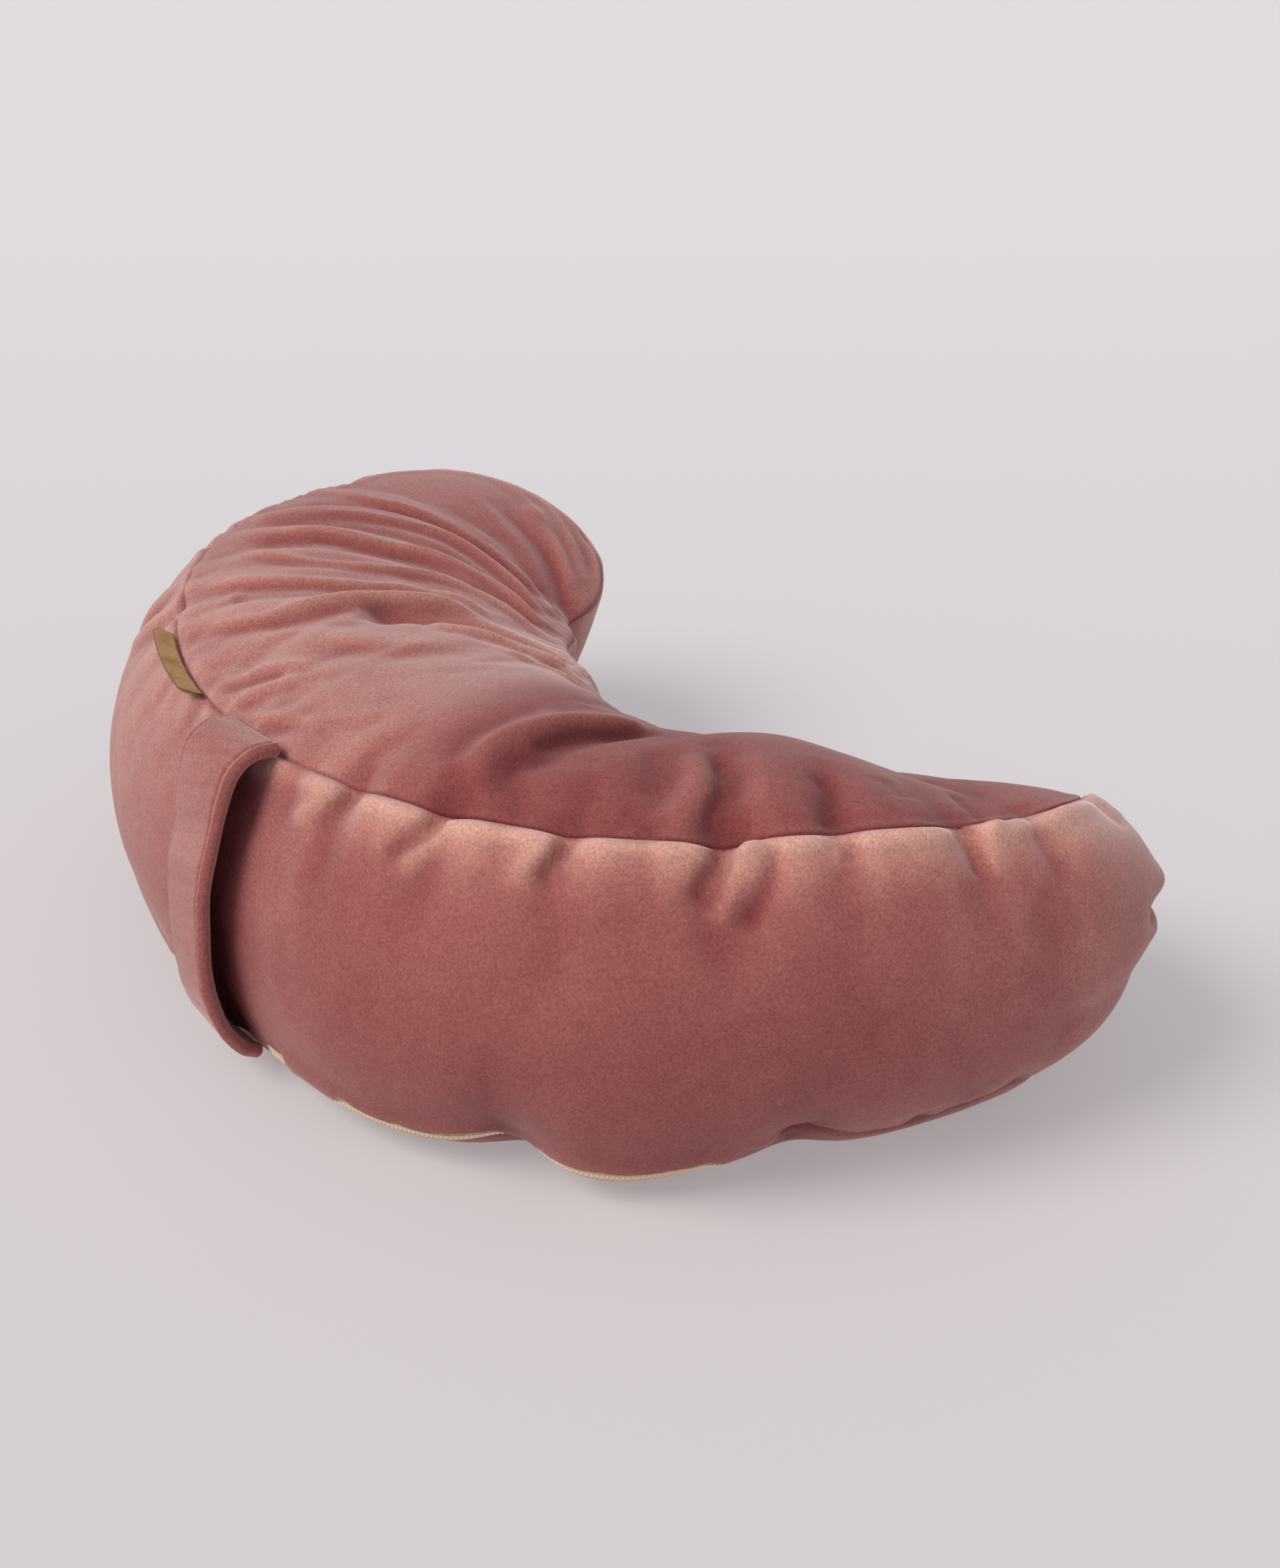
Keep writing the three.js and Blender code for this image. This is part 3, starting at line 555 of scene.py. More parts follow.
def puffed_out():
    """How far the cloth of the cushion moves from its sewn shape, in millimetres, on the coarse
    grid. The cover is cut a little larger than the shape, held at its seams and on the floor, and
    blown up, so that the spare cloth wrinkles between them. Most of the broad swelling is taken
    out, so that the wrinkles stay."""
    points, _, part, share = cushion_grid(1)
    numbers = grid_numbers(*points.shape[:2], 1)
    squares, triangles = ring_faces(numbers)
    start = points_by_number(points, numbers)
    piece = mesh_object("cloth_trial", start, squares, triangles)
    held = np.zeros(points.shape[:2])
    held[:, (part == 1) & (share == 0)] = 1
    held[:, (part == 2) & (share == 0)] = 1
    held[:, (part == 2) & (share >= 0.5 * (1 - FLAT_SHARE))] = 1
    group = piece.vertex_groups.new(name="held")
    group.add(np.flatnonzero(points_by_number(held, numbers) > 0.5).tolist(), 1.0, "REPLACE")
    cloth = piece.modifiers.new("cloth", "CLOTH")
    settings = cloth.settings
    settings.quality = 6
    settings.mass = 0.3
    settings.tension_stiffness = 20
    settings.compression_stiffness = 20
    settings.shear_stiffness = 8
    settings.bending_stiffness = 0.6
    settings.use_pressure = True
    settings.uniform_pressure_force = CLOTH["pressure"]
    settings.shrink_min = -CLOTH["spare"]
    settings.effector_weights.gravity = 0
    settings.vertex_group_mass = "held"
    cloth.collision_settings.use_collision = False
    cloth.collision_settings.use_self_collision = False
    cloth.point_cache.frame_start = 1
    cloth.point_cache.frame_end = CLOTH["frames"]
    scene = bpy.context.scene
    for number in range(1, CLOTH["frames"] + 1):
        scene.frame_set(number)
    puffed = piece.evaluated_get(bpy.context.evaluated_depsgraph_get()).to_mesh()
    moved = np.empty(len(puffed.vertices) * 3)
    puffed.vertices.foreach_get("co", moved)
    moved = moved.reshape(-1, 3) / MILLIMETRE - TURNING_CENTRE - start
    scene.frame_set(1)
    bpy.data.objects.remove(piece)
    length = np.linalg.norm(moved, axis=1)[:, None]
    moved = moved * np.minimum(1, CLOTH["cap"] / np.maximum(length, 1e-9))
    broad = smoothed(moved, triangles_of(squares, triangles), CLOTH["rounds"])
    return (moved - CLOTH["broad"] * broad)[numbers]


def finer(field, times, closed):
    """A field on the coarse grid at every place of the finer one along its first axis, by cubic
    curves through its values."""
    before, after = (np.roll(field, 1, 0), np.roll(field, -1, 0)) if closed else (
        np.concatenate([field[:1], field[:-1]]), np.concatenate([field[1:], field[-1:]]))
    beyond = np.roll(after, -1, 0) if closed else np.concatenate([after[1:], after[-1:]])
    steps = []
    for k in range(times):
        t = k / times
        steps.append(0.5 * ((-t + 2 * t ** 2 - t ** 3) * before + (2 - 5 * t ** 2 + 3 * t ** 3) * field
                            + (t + 4 * t ** 2 - 3 * t ** 3) * after + (t ** 3 - t ** 2) * beyond))
    woven = np.stack(steps, 1).reshape((-1,) + field.shape[1:])
    return woven if closed else woven[:len(woven) - times + 1]


def irregular(x, seed, octaves=5):
    """A smooth irregular wave of x between about -1 and 1: a sum of sines, each of a higher pitch
    and less height than the one before, whose pitches and starts come from the seed."""
    draw = np.random.default_rng(seed)
    pitch_growth, height_loss, largest_start, largest_sum = 1.6, 1.25, 6.28, 2.2
    total = 0.0
    for k in range(octaves):
        pitch = pitch_growth ** k * (0.8 + 0.4 * draw.random())
        total = total + np.sin(pitch * x + largest_start * draw.random()) / height_loss ** k
    return total / largest_sum


def smooth_step(x):
    """Zero below x = 0, one above x = 1 and 3xx - 2xxx between."""
    x = np.clip(x, 0, 1)
    return x * x * (3 - 2 * x)


def round_outside(angle):
    """The distance along the outer seam to an angle, where an angle past a tip's goes round it."""
    angle = np.asarray(angle, float)
    straight = np.clip(angle, -TIP_ANGLE, TIP_ANGLE)
    tip = np.radians(angle - straight)
    return np.radians(straight) * OUTER_SEAM_RADIUS + tip * TIP_SEAM_RADIUS


def fade_out_round_tips(half, start, wide, left):
    """One on the outer side, falling to that much less than one between two turns round a tip."""
    return 1 - left * smooth_step((half["turn"][:, None] - start) / wide)


def fold_detail(points, half, part, top, bottom):
    """The height of the sharp folds on the grid: those of the panel on its plan, and those of the
    band and its foot on the band laid flat. The inner side has none, so its flat place is moved far
    away from them all."""
    far_away = 5000
    panel_columns, band_columns = part == 0, part == 1
    height = np.zeros(points.shape[:2])
    plan = []
    for high, start, end, path in SHARP_FOLDS:
        places = [plan_direction(np.array(float(angle))) * radius for angle, radius in path]
        plan.append((high, start, end, places))
    fade = np.minimum(1, -top[:, panel_columns] / PANEL_FOLD_FADE)
    height[:, panel_columns] = sharp_heights(points[:, panel_columns, :2], plan, True) * fade
    inner_side = half["turn"] > INNER_TURN
    past_tip = half["angle"] + np.sign(half["angle"]) * half["turn"] * ~inner_side
    along = round_outside(past_tip)[:, None] + far_away * inner_side[:, None]
    for folds, distance in ((BAND_FOLDS, top[:, band_columns]), (FOOT_FOLDS, -bottom[:, band_columns])):
        paths = [(high, wide, wide, [(round_outside(angle), down) for angle, down in path])
                 for high, wide, path in folds]
        place = np.stack([along * np.ones_like(distance), distance], -1)
        fade = np.minimum(1, distance / BAND_FOLD_FADE)
        height[:, band_columns] += sharp_heights(place, paths) * fade
    return height


def zip_cover(half, bottom):
    """The lip of the fabric above the zip: it rises steeply at its edge and runs out upwards as a
    bell. It is on the outer side only."""
    above = -bottom
    angle = half["angle"][:, None]
    edge = np.interp(angle, *ZIP_COVER.T)
    window = smooth_step((angle - ZIP_LIP["start"]) / ZIP_LIP["soft"])
    window = window * smooth_step((ZIP_LIP["end"] - angle) / ZIP_LIP["soft"])
    run_out = bell(np.maximum(0, above - ZIP_LIP["full"]), ZIP_LIP["fade"])
    lip = smooth_step((above - edge) / ZIP_LIP["steep"]) * run_out
    height = blend_between(ZIP_LIP["hiding"], ZIP_LIP["beside"], smooth_step(edge / 4))
    return height * window * lip * (half["turn"][:, None] < 1)


def seam_relief(half, top, bottom):
    """Grooves along both seams and rolled lips beside them, each a bell of the distance to its
    place. The lip under the top seam is high on the near arm, flat where the seam dips, and fades
    round the tips."""
    near_arm = smooth_step((half["angle"][:, None] - 2) / 10)
    height = -blend_between(GROOVE["far"], GROOVE["near"], near_arm) * bell(top, GROOVE["wide"])
    dipped = sum(bell(np.radians(half["angle"] - dip[0]) * OUTER_SEAM_RADIUS, 5.0)
                 for dip in SEAM_DIPS)[:, None]
    lip = blend_between(BAND_LIP["far"], BAND_LIP["near"], near_arm) * (1 - np.minimum(1, dipped))
    lip = lip * fade_out_round_tips(half, 5, 50, 0.9)
    height = height + lip * bell(top - BAND_LIP["away"], BAND_LIP["wide"]) * (top >= 0)
    lip = blend_between(PANEL_LIP["far"], PANEL_LIP["near"], near_arm)
    height = height + lip * bell(top + PANEL_LIP["away"], PANEL_LIP["wide"]) * (top < 0)
    foot_lip = FOOT_LIP["high"] * bell(np.abs(bottom) - FOOT_LIP["away"], FOOT_LIP["wide"])
    return height - GROOVE["foot"] * bell(bottom, GROOVE["wide"]) + foot_lip


def gathers(half, top, bottom):
    """Small gathers that run away from the seams: irregular waves along a seam, which rise beside
    it and fall away as exp of minus the distance over their reach."""
    around = np.radians(half["angle"]) * (MIDDLE_RADIUS + half["reach"])
    around = (around + np.radians(half["turn"]) * half["reach"])[:, None]
    near_arm = smooth_step((half["angle"][:, None] - 2) / 10)

    def waves_along(place, row, distance):
        wave = irregular(place / row["spacing"], row["seed"])
        return wave * np.exp(-np.abs(distance) / row["reach"])

    lean = GATHER_LEAN * top
    above = waves_along(around + lean, PANEL_GATHERS, top) * (top < 0)
    below = waves_along(around - lean, BAND_GATHERS, top) * (top >= 0)
    foot = waves_along(around, FOOT_GATHERS, bottom)
    rise = np.minimum(1, np.abs(top) / GATHER_START)
    foot_rise = np.minimum(1, np.abs(bottom) / GATHER_START)
    below_high = blend_between(BAND_GATHERS["far"], BAND_GATHERS["near"], near_arm)
    by_top = (PANEL_GATHERS["high"] * above + below_high * below) * rise
    by_top = by_top * fade_out_round_tips(half, 10, 50, 0.8)
    return by_top + FOOT_GATHERS["high"] * foot * foot_rise


# Painted light and shade of the velvet, as tones from -1 dark to 1 pale: the top panel at the far tip,
# on the far arm and on the near one, a painted sheen paling the far arm and painted shade on the near
# one; the band on both arms, painted light on the far one and painted shade on the near one, by its
# foot with painted shade, and paler at the near tip; the painted highlight on the strip under the top
# seam; the painted shadow behind the strap, painted shade in the seam itself, and darker underneath
PANEL_TONES = dict(far_tip=-0.06, far_arm=0.32, near_arm=-0.46)
BAND_TONES = dict(far_arm=0.12, near_arm=-0.2, foot=-0.2, near_tip=0.12, painted_strap_shadow=-1.1)
PAINTED_HIGHLIGHT_TONES = dict(far_arm=0.3, near_arm=1.25)
PAINTED_SEAM_SHADE = -0.7
BASE_TONE = -0.3


def painted_light_tone(half, part, top):
    """Painted light and shade on the pile, as a tone from -1 dark to 1 pale. Steps along the angle lead
    from one arm to the other, and bells make the painted highlight on the strip under the seam and
    the painted shadow behind the strap."""
    angle = half["angle"][:, None]
    near_arm = smooth_step((angle - 3) / 14)
    # Painted sheen and shade: the top panel paler on the far arm and darker on the near one
    far_tone = blend_between(PANEL_TONES["far_tip"], PANEL_TONES["far_arm"],
                             smooth_step((angle + 60) / 45))
    panel_tone = blend_between(far_tone, PANEL_TONES["near_arm"], smooth_step((angle - 11) / 14))
    # Painted highlight on the strip under the top seam, strongest on the near arm
    strip = blend_between(PAINTED_HIGHLIGHT_TONES["far_arm"], PAINTED_HIGHLIGHT_TONES["near_arm"], near_arm)
    band_tone = bell(np.maximum(top, 0), 15.0) * strip
    # Painted light on the band of the far arm, painted shade on the near arm's band and towards its
    # foot, and paler towards the near tip
    band_tone = band_tone + blend_between(BAND_TONES["far_arm"], BAND_TONES["near_arm"], near_arm)
    band_tone = band_tone + BAND_TONES["foot"] * smooth_step((top - 20) / 70)
    band_tone = band_tone + BAND_TONES["near_tip"] * smooth_step((angle - 52) / 20)
    # Painted shadow of the strap on the band behind it
    painted_strap_shadow = bell(angle - 0.5, 5.5) * (half["turn"][:, None] < 1)
    shade = painted_strap_shadow * smooth_step((top - 4) / 12)
    band_tone = band_tone + BAND_TONES["painted_strap_shadow"] * shade
    # Painted shade in the seam itself on the arms, and darker underneath
    on_arms = 1 - smooth_step(np.minimum(half["turn"], 180 - half["turn"]) / 40)[:, None]
    tone = np.where(part == 0, panel_tone, band_tone) + PAINTED_SEAM_SHADE * on_arms * bell(top, 0.8)
    return np.where(part == 2, BASE_TONE, tone)


# How much of the simulated wrinkles is kept on the panels, in the middle of the band and along the
# zip, and the share of the band's height in which they die down away from a seam
WRINKLES = dict(panel=0.5, middle=0.12, zip=0.1, die_down=0.12)


def wrinkle_share(half, part, share):
    """How much of the simulated wrinkles each place keeps: on the band all of them at its seams,
    falling as exp of minus the distance to the few of its middle, and hardly any along the zip."""
    by_seam = np.exp(-share / WRINKLES["die_down"]) + np.exp(-(1 - share) / WRINKLES["die_down"])
    on_band = WRINKLES["middle"] + (1 - WRINKLES["middle"]) * by_seam
    kept = np.where(part == 1, on_band, WRINKLES["panel"])
    angle = half["angle"][:, None]
    along_zip = smooth_step(angle / 4) * smooth_step((56 - angle) / 4) * (half["turn"][:, None] < 1)
    low = np.where(part == 1, smooth_step((share - 0.6) / 0.25), part == 2)
    return kept * (1 - (1 - WRINKLES["zip"]) * along_zip * low)


# Rounds of smoothing that give the even surface, and the height over it that counts as a full lift
EVEN_ROUNDS = 40
FULL_LIFT = 1.5


def make_cushion():
    """The cover of the cushion on the fine grid: the sewn shape with its cloth wrinkles, moved along
    its normals by the seams, folds and the lip over the zip. It also stores the lift of each point
    over the smoothed surface, and the painted light and shade of the pile."""
    points, half, part, share = cushion_grid(REFINE)
    wrinkles = finer(puffed_out(), REFINE, True)
    wrinkles = np.swapaxes(finer(np.swapaxes(wrinkles, 0, 1), REFINE, False), 0, 1)
    points = points + wrinkles * wrinkle_share(half, part, share)[..., None]
    numbers = grid_numbers(*points.shape[:2], REFINE)
    squares, triangles = ring_faces(numbers)
    faces = triangles_of(squares, triangles)
    steps = np.linalg.norm(np.diff(points, axis=1), axis=2)
    down = np.concatenate([np.zeros((len(points), 1)), np.cumsum(steps, 1)], 1)
    top = down - down[:, (part == 1) & (share == 0)]
    bottom = down - down[:, (part == 2) & (share == 0)]
    detail = seam_relief(half, top, bottom) + gathers(half, top, bottom)
    detail = detail + fold_detail(points, half, part, top, bottom)
    detail = detail + zip_cover(half, bottom) * (part == 1)
    detail = points_by_number(detail[..., None], numbers)
    place = points_by_number(points, numbers)
    place = place + point_normals(place, faces) * detail
    place[:, 2] = np.maximum(place[:, 2], 0)
    piece = mesh_object("velvet_cushion", place, squares, triangles)
    even = smoothed(place, faces, EVEN_ROUNDS)
    lift = np.sum((place - even) * point_normals(even, faces), 1)
    store(piece, "lift", np.clip(lift / FULL_LIFT, -1, 1))
    # The painted light and shade of the pile, which the velvet's colour reads
    store(piece, "painted_light_tone", points_by_number(painted_light_tone(half, part, top)[..., None], numbers)[:, 0])
    return piece


cushion = make_cushion()

# Strap, tab and zip

STRAP = dict(angle=-0.5, width=33.0, thick=4.0, edge_power=14)

# The strap's path from the top seam to the bottom one: distance out from the seam, and height
STRAP_PATH = np.array([(1, 121.8), (10, 122.4), (18, 117.5), (24, 106), (29, 92), (33, 79),
                       (34.5, 65), (35.4, 50), (34, 36), (30.4, 24), (24.6, 15), (18.2, 10.4)], float)

# Relief near the strap's edges: height, distance from the edge and width of each bell
STRAP_ROLL = dict(high=0.7, away=1.8, wide=1.0)
STRAP_STITCHES = dict(high=-0.5, away=3.8, wide=0.6)
STRAP_LIP = dict(high=0.35, away=1.6, wide=0.7)

# The ripple of its outer face: height, spacing along it, slant across it, seed, and the power by
# which it dies down at the edges
RIPPLE = dict(high=0.35, spacing=7, slant=0.8, seed=21, edge_power=6)

# How far the strap's left edge lies in towards the band, at each height
STRAP_HUG = np.array([(10, 1), (15, 2.5), (24, 4.5), (36, 6), (92, 6), (115, 1.5), (121, 0)], float)


def tube_faces(lines, columns):
    """Squares of a grid that closes round its columns, with a many-sided cap at each end."""
    numbers = np.arange(lines * columns).reshape(lines, columns)
    next_column = np.roll(numbers, -1, 1)
    squares = np.stack([numbers[:-1], next_column[:-1], next_column[1:], numbers[1:]], -1)
    return squares.reshape(-1, 4), numbers[0], numbers[-1]


def closed_strip(name, under, over):
    """A closed thin piece from its two faces, each a grid of lines across and places along."""
    ring = np.concatenate([under, over[:, ::-1]], 1)
    start, end = ring[:1].mean(1), ring[-1:].mean(1)
    lines, columns = ring.shape[:2]
    points = np.concatenate([ring.reshape(-1, 3), start, end])
    squares, first, last = tube_faces(lines, columns)
    fan_start = np.stack([np.full(columns, lines * columns), np.roll(first, -1), first], -1)
    fan_end = np.stack([np.full(columns, lines * columns + 1), last, np.roll(last, -1)], -1)
    return mesh_object(name, points, squares, np.concatenate([fan_start, fan_end]))


def make_strap():
    """The carry strap: a flat fabric tube along its path, half as thick as STRAP says on each side
    of it and rounded at the edges by a high power. Its right edge is rolled and stitched, the left
    one has a thin lip, and the outer face ripples a little."""
    centre, length = smooth_path(STRAP_PATH, 150)
    slope = np.gradient(centre, axis=0)
    slope /= np.linalg.norm(slope, axis=1)[:, None]
    outward = np.stack([-slope[:, 1], slope[:, 0]], -1)
    side = np.sin(np.linspace(-0.5 * np.pi, 0.5 * np.pi, 61))
    side = 0.5 * side + 0.5 * np.linspace(-1, 1, 61)
    rounding = np.sqrt(np.maximum(0, 1 - np.abs(side) ** STRAP["edge_power"]))
    from_edge = 0.5 * STRAP["width"] * (1 - np.abs(side))
    height = 0.5 * STRAP["thick"] * rounding

    def relief(row):
        return row["high"] * bell(from_edge - row["away"], row["wide"])

    right = smooth_step(0.5 + 20 * side)
    height = height + right * (relief(STRAP_ROLL) + relief(STRAP_STITCHES))
    height = height + (1 - right) * relief(STRAP_LIP)
    seam_radius = MIDDLE_RADIUS + column("outer", np.array(STRAP["angle"]))
    along = np.linspace(0, length, len(centre))[:, None]
    hug = np.interp(centre[:, 1], *STRAP_HUG.T)
    wave = irregular(along / RIPPLE["spacing"] + side * RIPPLE["slant"], RIPPLE["seed"])
    ripple = RIPPLE["high"] * wave * (1 - np.abs(side) ** RIPPLE["edge_power"])

    def face(sign):
        shift = sign * (height + (ripple if sign > 0 else 0))
        spot = centre[:, None, :] + outward[:, None, :] * (shift * np.ones((len(centre), 1)))[..., None]
        spot[..., 0] -= hug[:, None] * 0.5 * (1 - side)
        radius = seam_radius + spot[..., 0]
        angle = STRAP["angle"] + np.degrees(0.5 * STRAP["width"] * side / radius)
        plan = plan_direction(angle) * radius[..., None]
        return np.concatenate([plan, spot[..., 1:]], -1)

    return closed_strip("velvet_strap", face(-1)[:, ::-1], face(1)[:, ::-1]), length


def band_frame(angle, v):
    """Places on the band of the outer side at each angle and share of its height, with the unit
    directions away from it."""

    def at(a, share):
        return band(half_sections(a, np.zeros(len(a))), share)

    middle = at(angle, v)
    along = at(angle + 0.5, v) - at(angle - 0.5, v)
    down = at(angle, np.minimum(v + 0.01, 1)) - at(angle, np.maximum(v - 0.01, 0))
    normal = np.cross(down, along)
    return middle, normal / np.linalg.norm(normal, axis=-1)[..., None]


def band_length(angle):
    """The length of the band's arc from seam to seam at each angle."""
    half = half_sections(angle, np.zeros(len(angle)))
    straight = np.hypot(half["spread"], half["foot"] - half["seam"])
    half_angle = 2 * np.arctan(2 * half["bulge"] / straight)
    return straight * half_angle / np.sin(half_angle)


# The tab: angles of its start and end, place below the seam, width out from it, tilt upwards,
# thickness, and how far its free edge slants sideways
TAB = dict(start=-27.2, end=-12.2, root=0.5, width=8.0, tilt=22.0, thick=1.4, slant=3.2)

# Its corners are drawn in by a share of its width over a few lines at each end. Its long edges are
# rounded over one distance and darker over another.
TAB_CORNER = dict(share=0.12, lines=4.0)
TAB_EDGE = dict(rounded=0.5, dark=0.6)

# The zip: angles of its start and end, place above the seam, width, thickness, and the share of its
# rise that is left where the fabric hides it
ZIP = dict(start=6.0, end=50.0, edge=1.0, width=6.0, thick=0.9, hidden=0.45)

# Its two rows of coil loops: height, spacing, distance from the middle, width, and the width of the
# gap between them. Its tape has fine ribs: height and spacing.
ZIP_COIL = dict(high=0.5, spacing=1.5, away=0.75, wide=0.6, gap=0.25)
ZIP_RIBS = dict(high=0.12, spacing=0.7)

# The gap between the cushion and the pieces that are sewn to it
CLEARANCE = 0.4


def make_tab():
    """The leather tab: a stiff strip that stands out from the top seam, its thickness falling as a
    square root at both long edges, and its short ends drawn in a little at the corners."""
    angle = np.linspace(TAB["start"], TAB["end"], 70)
    v = (TAB["root"] / band_length(angle))[:, None]
    root, normal = band_frame(angle, v)
    root = root[:, 0] + normal[:, 0] * CLEARANCE
    tilt = math.radians(TAB["tilt"])
    flat = plan_direction(angle)
    level = np.ones((len(angle), 1))
    direction = np.concatenate([flat * math.cos(tilt), level * math.sin(tilt)], 1)
    across = np.concatenate([-flat * math.sin(tilt), level * math.cos(tilt)], 1)
    share = np.linspace(0, 1, 25)
    lines = np.arange(len(angle))
    from_end = np.minimum(lines, lines[::-1]) / TAB_CORNER["lines"]
    corner = 1 - TAB_CORNER["share"] * np.maximum(0, 1 - from_end) ** 2
    out = TAB["width"] * share[None, :] * corner[:, None]
    edge = np.minimum(out, TAB["width"] * corner[:, None] - out)
    soft = np.sqrt(np.clip(edge / TAB_EDGE["rounded"], 0.05, 1))
    middle = root[:, None] + direction[:, None] * out[..., None] + across[:, None] * 0.5 * TAB["thick"]
    middle[..., :2] -= plan_direction(angle + 90)[:, None] * (TAB["slant"] * share)[None, :, None]
    half = (0.5 * TAB["thick"] * soft)[..., None] * across[:, None]
    piece = closed_strip("leather_tab", middle - half, middle + half)
    rim = np.concatenate([np.concatenate([edge, edge[:, ::-1]], 1).ravel(), [0, 0]])
    store(piece, "rim", np.clip(1 - rim / TAB_EDGE["dark"], 0, 1))
    return piece


def make_zip():
    """The closed zip: a tape with fine ribs along it, and on its middle two rows of coil loops, set
    half a loop apart, with a narrow gap between them. Each loop is a cosine along the tape within a
    bell across it."""
    angle = np.linspace(ZIP["start"], ZIP["end"], 900)
    share = np.linspace(0, 1, 29)[None, :]
    v = 1 - (ZIP["edge"] + ZIP["width"] * (1 - share)) / band_length(angle)[:, None]
    place, normal = band_frame(angle, v)
    across = (share - 0.5) * ZIP["width"]
    foot_radius = MIDDLE_RADIUS + 80
    along = (np.radians(angle) * foot_radius)[:, None]
    half_loop = np.where(across > 0, np.pi, 0)
    loops = 0.5 + 0.5 * np.cos(2 * np.pi * along / ZIP_COIL["spacing"] + half_loop)
    coil = bell(np.abs(across) - ZIP_COIL["away"], ZIP_COIL["wide"]) * (0.35 + 0.65 * loops)
    gap = 0.25 * bell(across, ZIP_COIL["gap"])
    rise = ZIP["thick"] + ZIP_COIL["high"] * (coil - gap)
    rise = rise + ZIP_RIBS["high"] * np.cos(2 * np.pi * across / ZIP_RIBS["spacing"])
    rise = rise * blend_between(ZIP["hidden"], 1, smooth_step((angle[:, None] - 13) / 3))
    under = place + normal * CLEARANCE
    over = place + normal * (CLEARANCE + rise)[..., None]
    piece = closed_strip("cream_zip", under, over)
    ridge = np.concatenate([np.zeros_like(coil), coil[:, ::-1]], 1).ravel()
    store(piece, "coil", np.concatenate([ridge, [0, 0]]))
    return piece


strap, strap_length = make_strap()
tab = make_tab()
zip_piece = make_zip()

# Finishes


class Wiring:
    """A short way to place shader nodes and join their sockets in one tree."""

    def __init__(self, tree):
        self.tree = tree

    def node(self, kind, **settings):
        """A new node with its settings."""
        made = self.tree.nodes.new(kind)
        for name, value in settings.items():
            setattr(made, name, value)
        return made

    def join(self, out, into):
        """A link from an output to an input."""
        self.tree.links.new(out, into)

    def value(self, kind, inputs, out=0, **settings):
        """A node with its inputs set to sockets or plain values. Gives one of its outputs."""
        made = self.node(kind, **settings)
        for key, given in inputs.items():
            if isinstance(given, bpy.types.NodeSocket):
                self.join(given, made.inputs[key])
            else:
                made.inputs[key].default_value = given
        return made.outputs[out]

    def maths(self, operation, a, b=0.0, c=0.0, clamp=False):
        """The result of an operation on up to three values."""
        settings = dict(operation=operation, use_clamp=clamp)
        return self.value("ShaderNodeMath", {0: a, 1: b, 2: c}, **settings)

    def noise(self, place, scale, detail=2.0, rough=0.5, warp=0.0):
        """Smooth noise from 0 to 1 at a place."""
        return self.value("ShaderNodeTexNoise", {"Vector": place, "Scale": scale, "Detail": detail,
                                                 "Roughness": rough, "Distortion": warp}, 0)

    def ramp(self, value, stops):
        """A colour for a value, read off between the stops, each a place and a colour."""
        made = self.node("ShaderNodeValToRGB")
        while len(made.color_ramp.elements) < len(stops):
            made.color_ramp.elements.new(0.5)
        for element, (place, colour) in zip(made.color_ramp.elements, stops):
            element.position = place
            element.color = (*colour, 1) if len(colour) == 3 else colour
        self.join(value, made.inputs[0])
        return made.outputs[0]

    def mix_colour(self, share, a, b, blend="MIX"):
        """Colour a blended with colour b by a share."""
        made = self.node("ShaderNodeMix", data_type="RGBA", blend_type=blend)
        for key, given in ((0, share), (6, a), (7, b)):
            if isinstance(given, bpy.types.NodeSocket):
                self.join(given, made.inputs[key])
            else:
                made.inputs[key].default_value = (*given, 1) if key else given
        return made.outputs[2]


def grey(value):
    """A grey whose three values are the same."""
    return (value, value, value)


def linear(red, green, blue):
    """A colour given as screen values from 0 to 255, in the linear values that shaders take: a
    dark value is divided by 12.92, and another is the power 2.4 of itself and 0.055 over 1.055."""
    part = np.array([red, green, blue]) / 255
    return tuple(np.where(part <= 0.04045, part / 12.92, ((part + 0.055) / 1.055) ** 2.4).tolist())


def new_material(name):
    """An empty material with its wiring, its shader and its output joined."""
    material = bpy.data.materials.new(name)
    material.use_nodes = True
    material.node_tree.nodes.clear()
    wiring = Wiring(material.node_tree)
    shader = wiring.node("ShaderNodeBsdfPrincipled")
    output = wiring.node("ShaderNodeOutputMaterial")
    wiring.join(shader.outputs[0], output.inputs[0])
    return material, wiring, shader


def set_bump(w, shader, height, strength, distance):
    """A relief on a shader from a height, with its strength and its depth in metres."""
    bump = w.node("ShaderNodeBump")
    bump.inputs["Strength"].default_value = strength
    bump.inputs["Distance"].default_value = distance
    w.join(height, bump.inputs["Height"])
    w.join(bump.outputs[0], shader.inputs["Normal"])


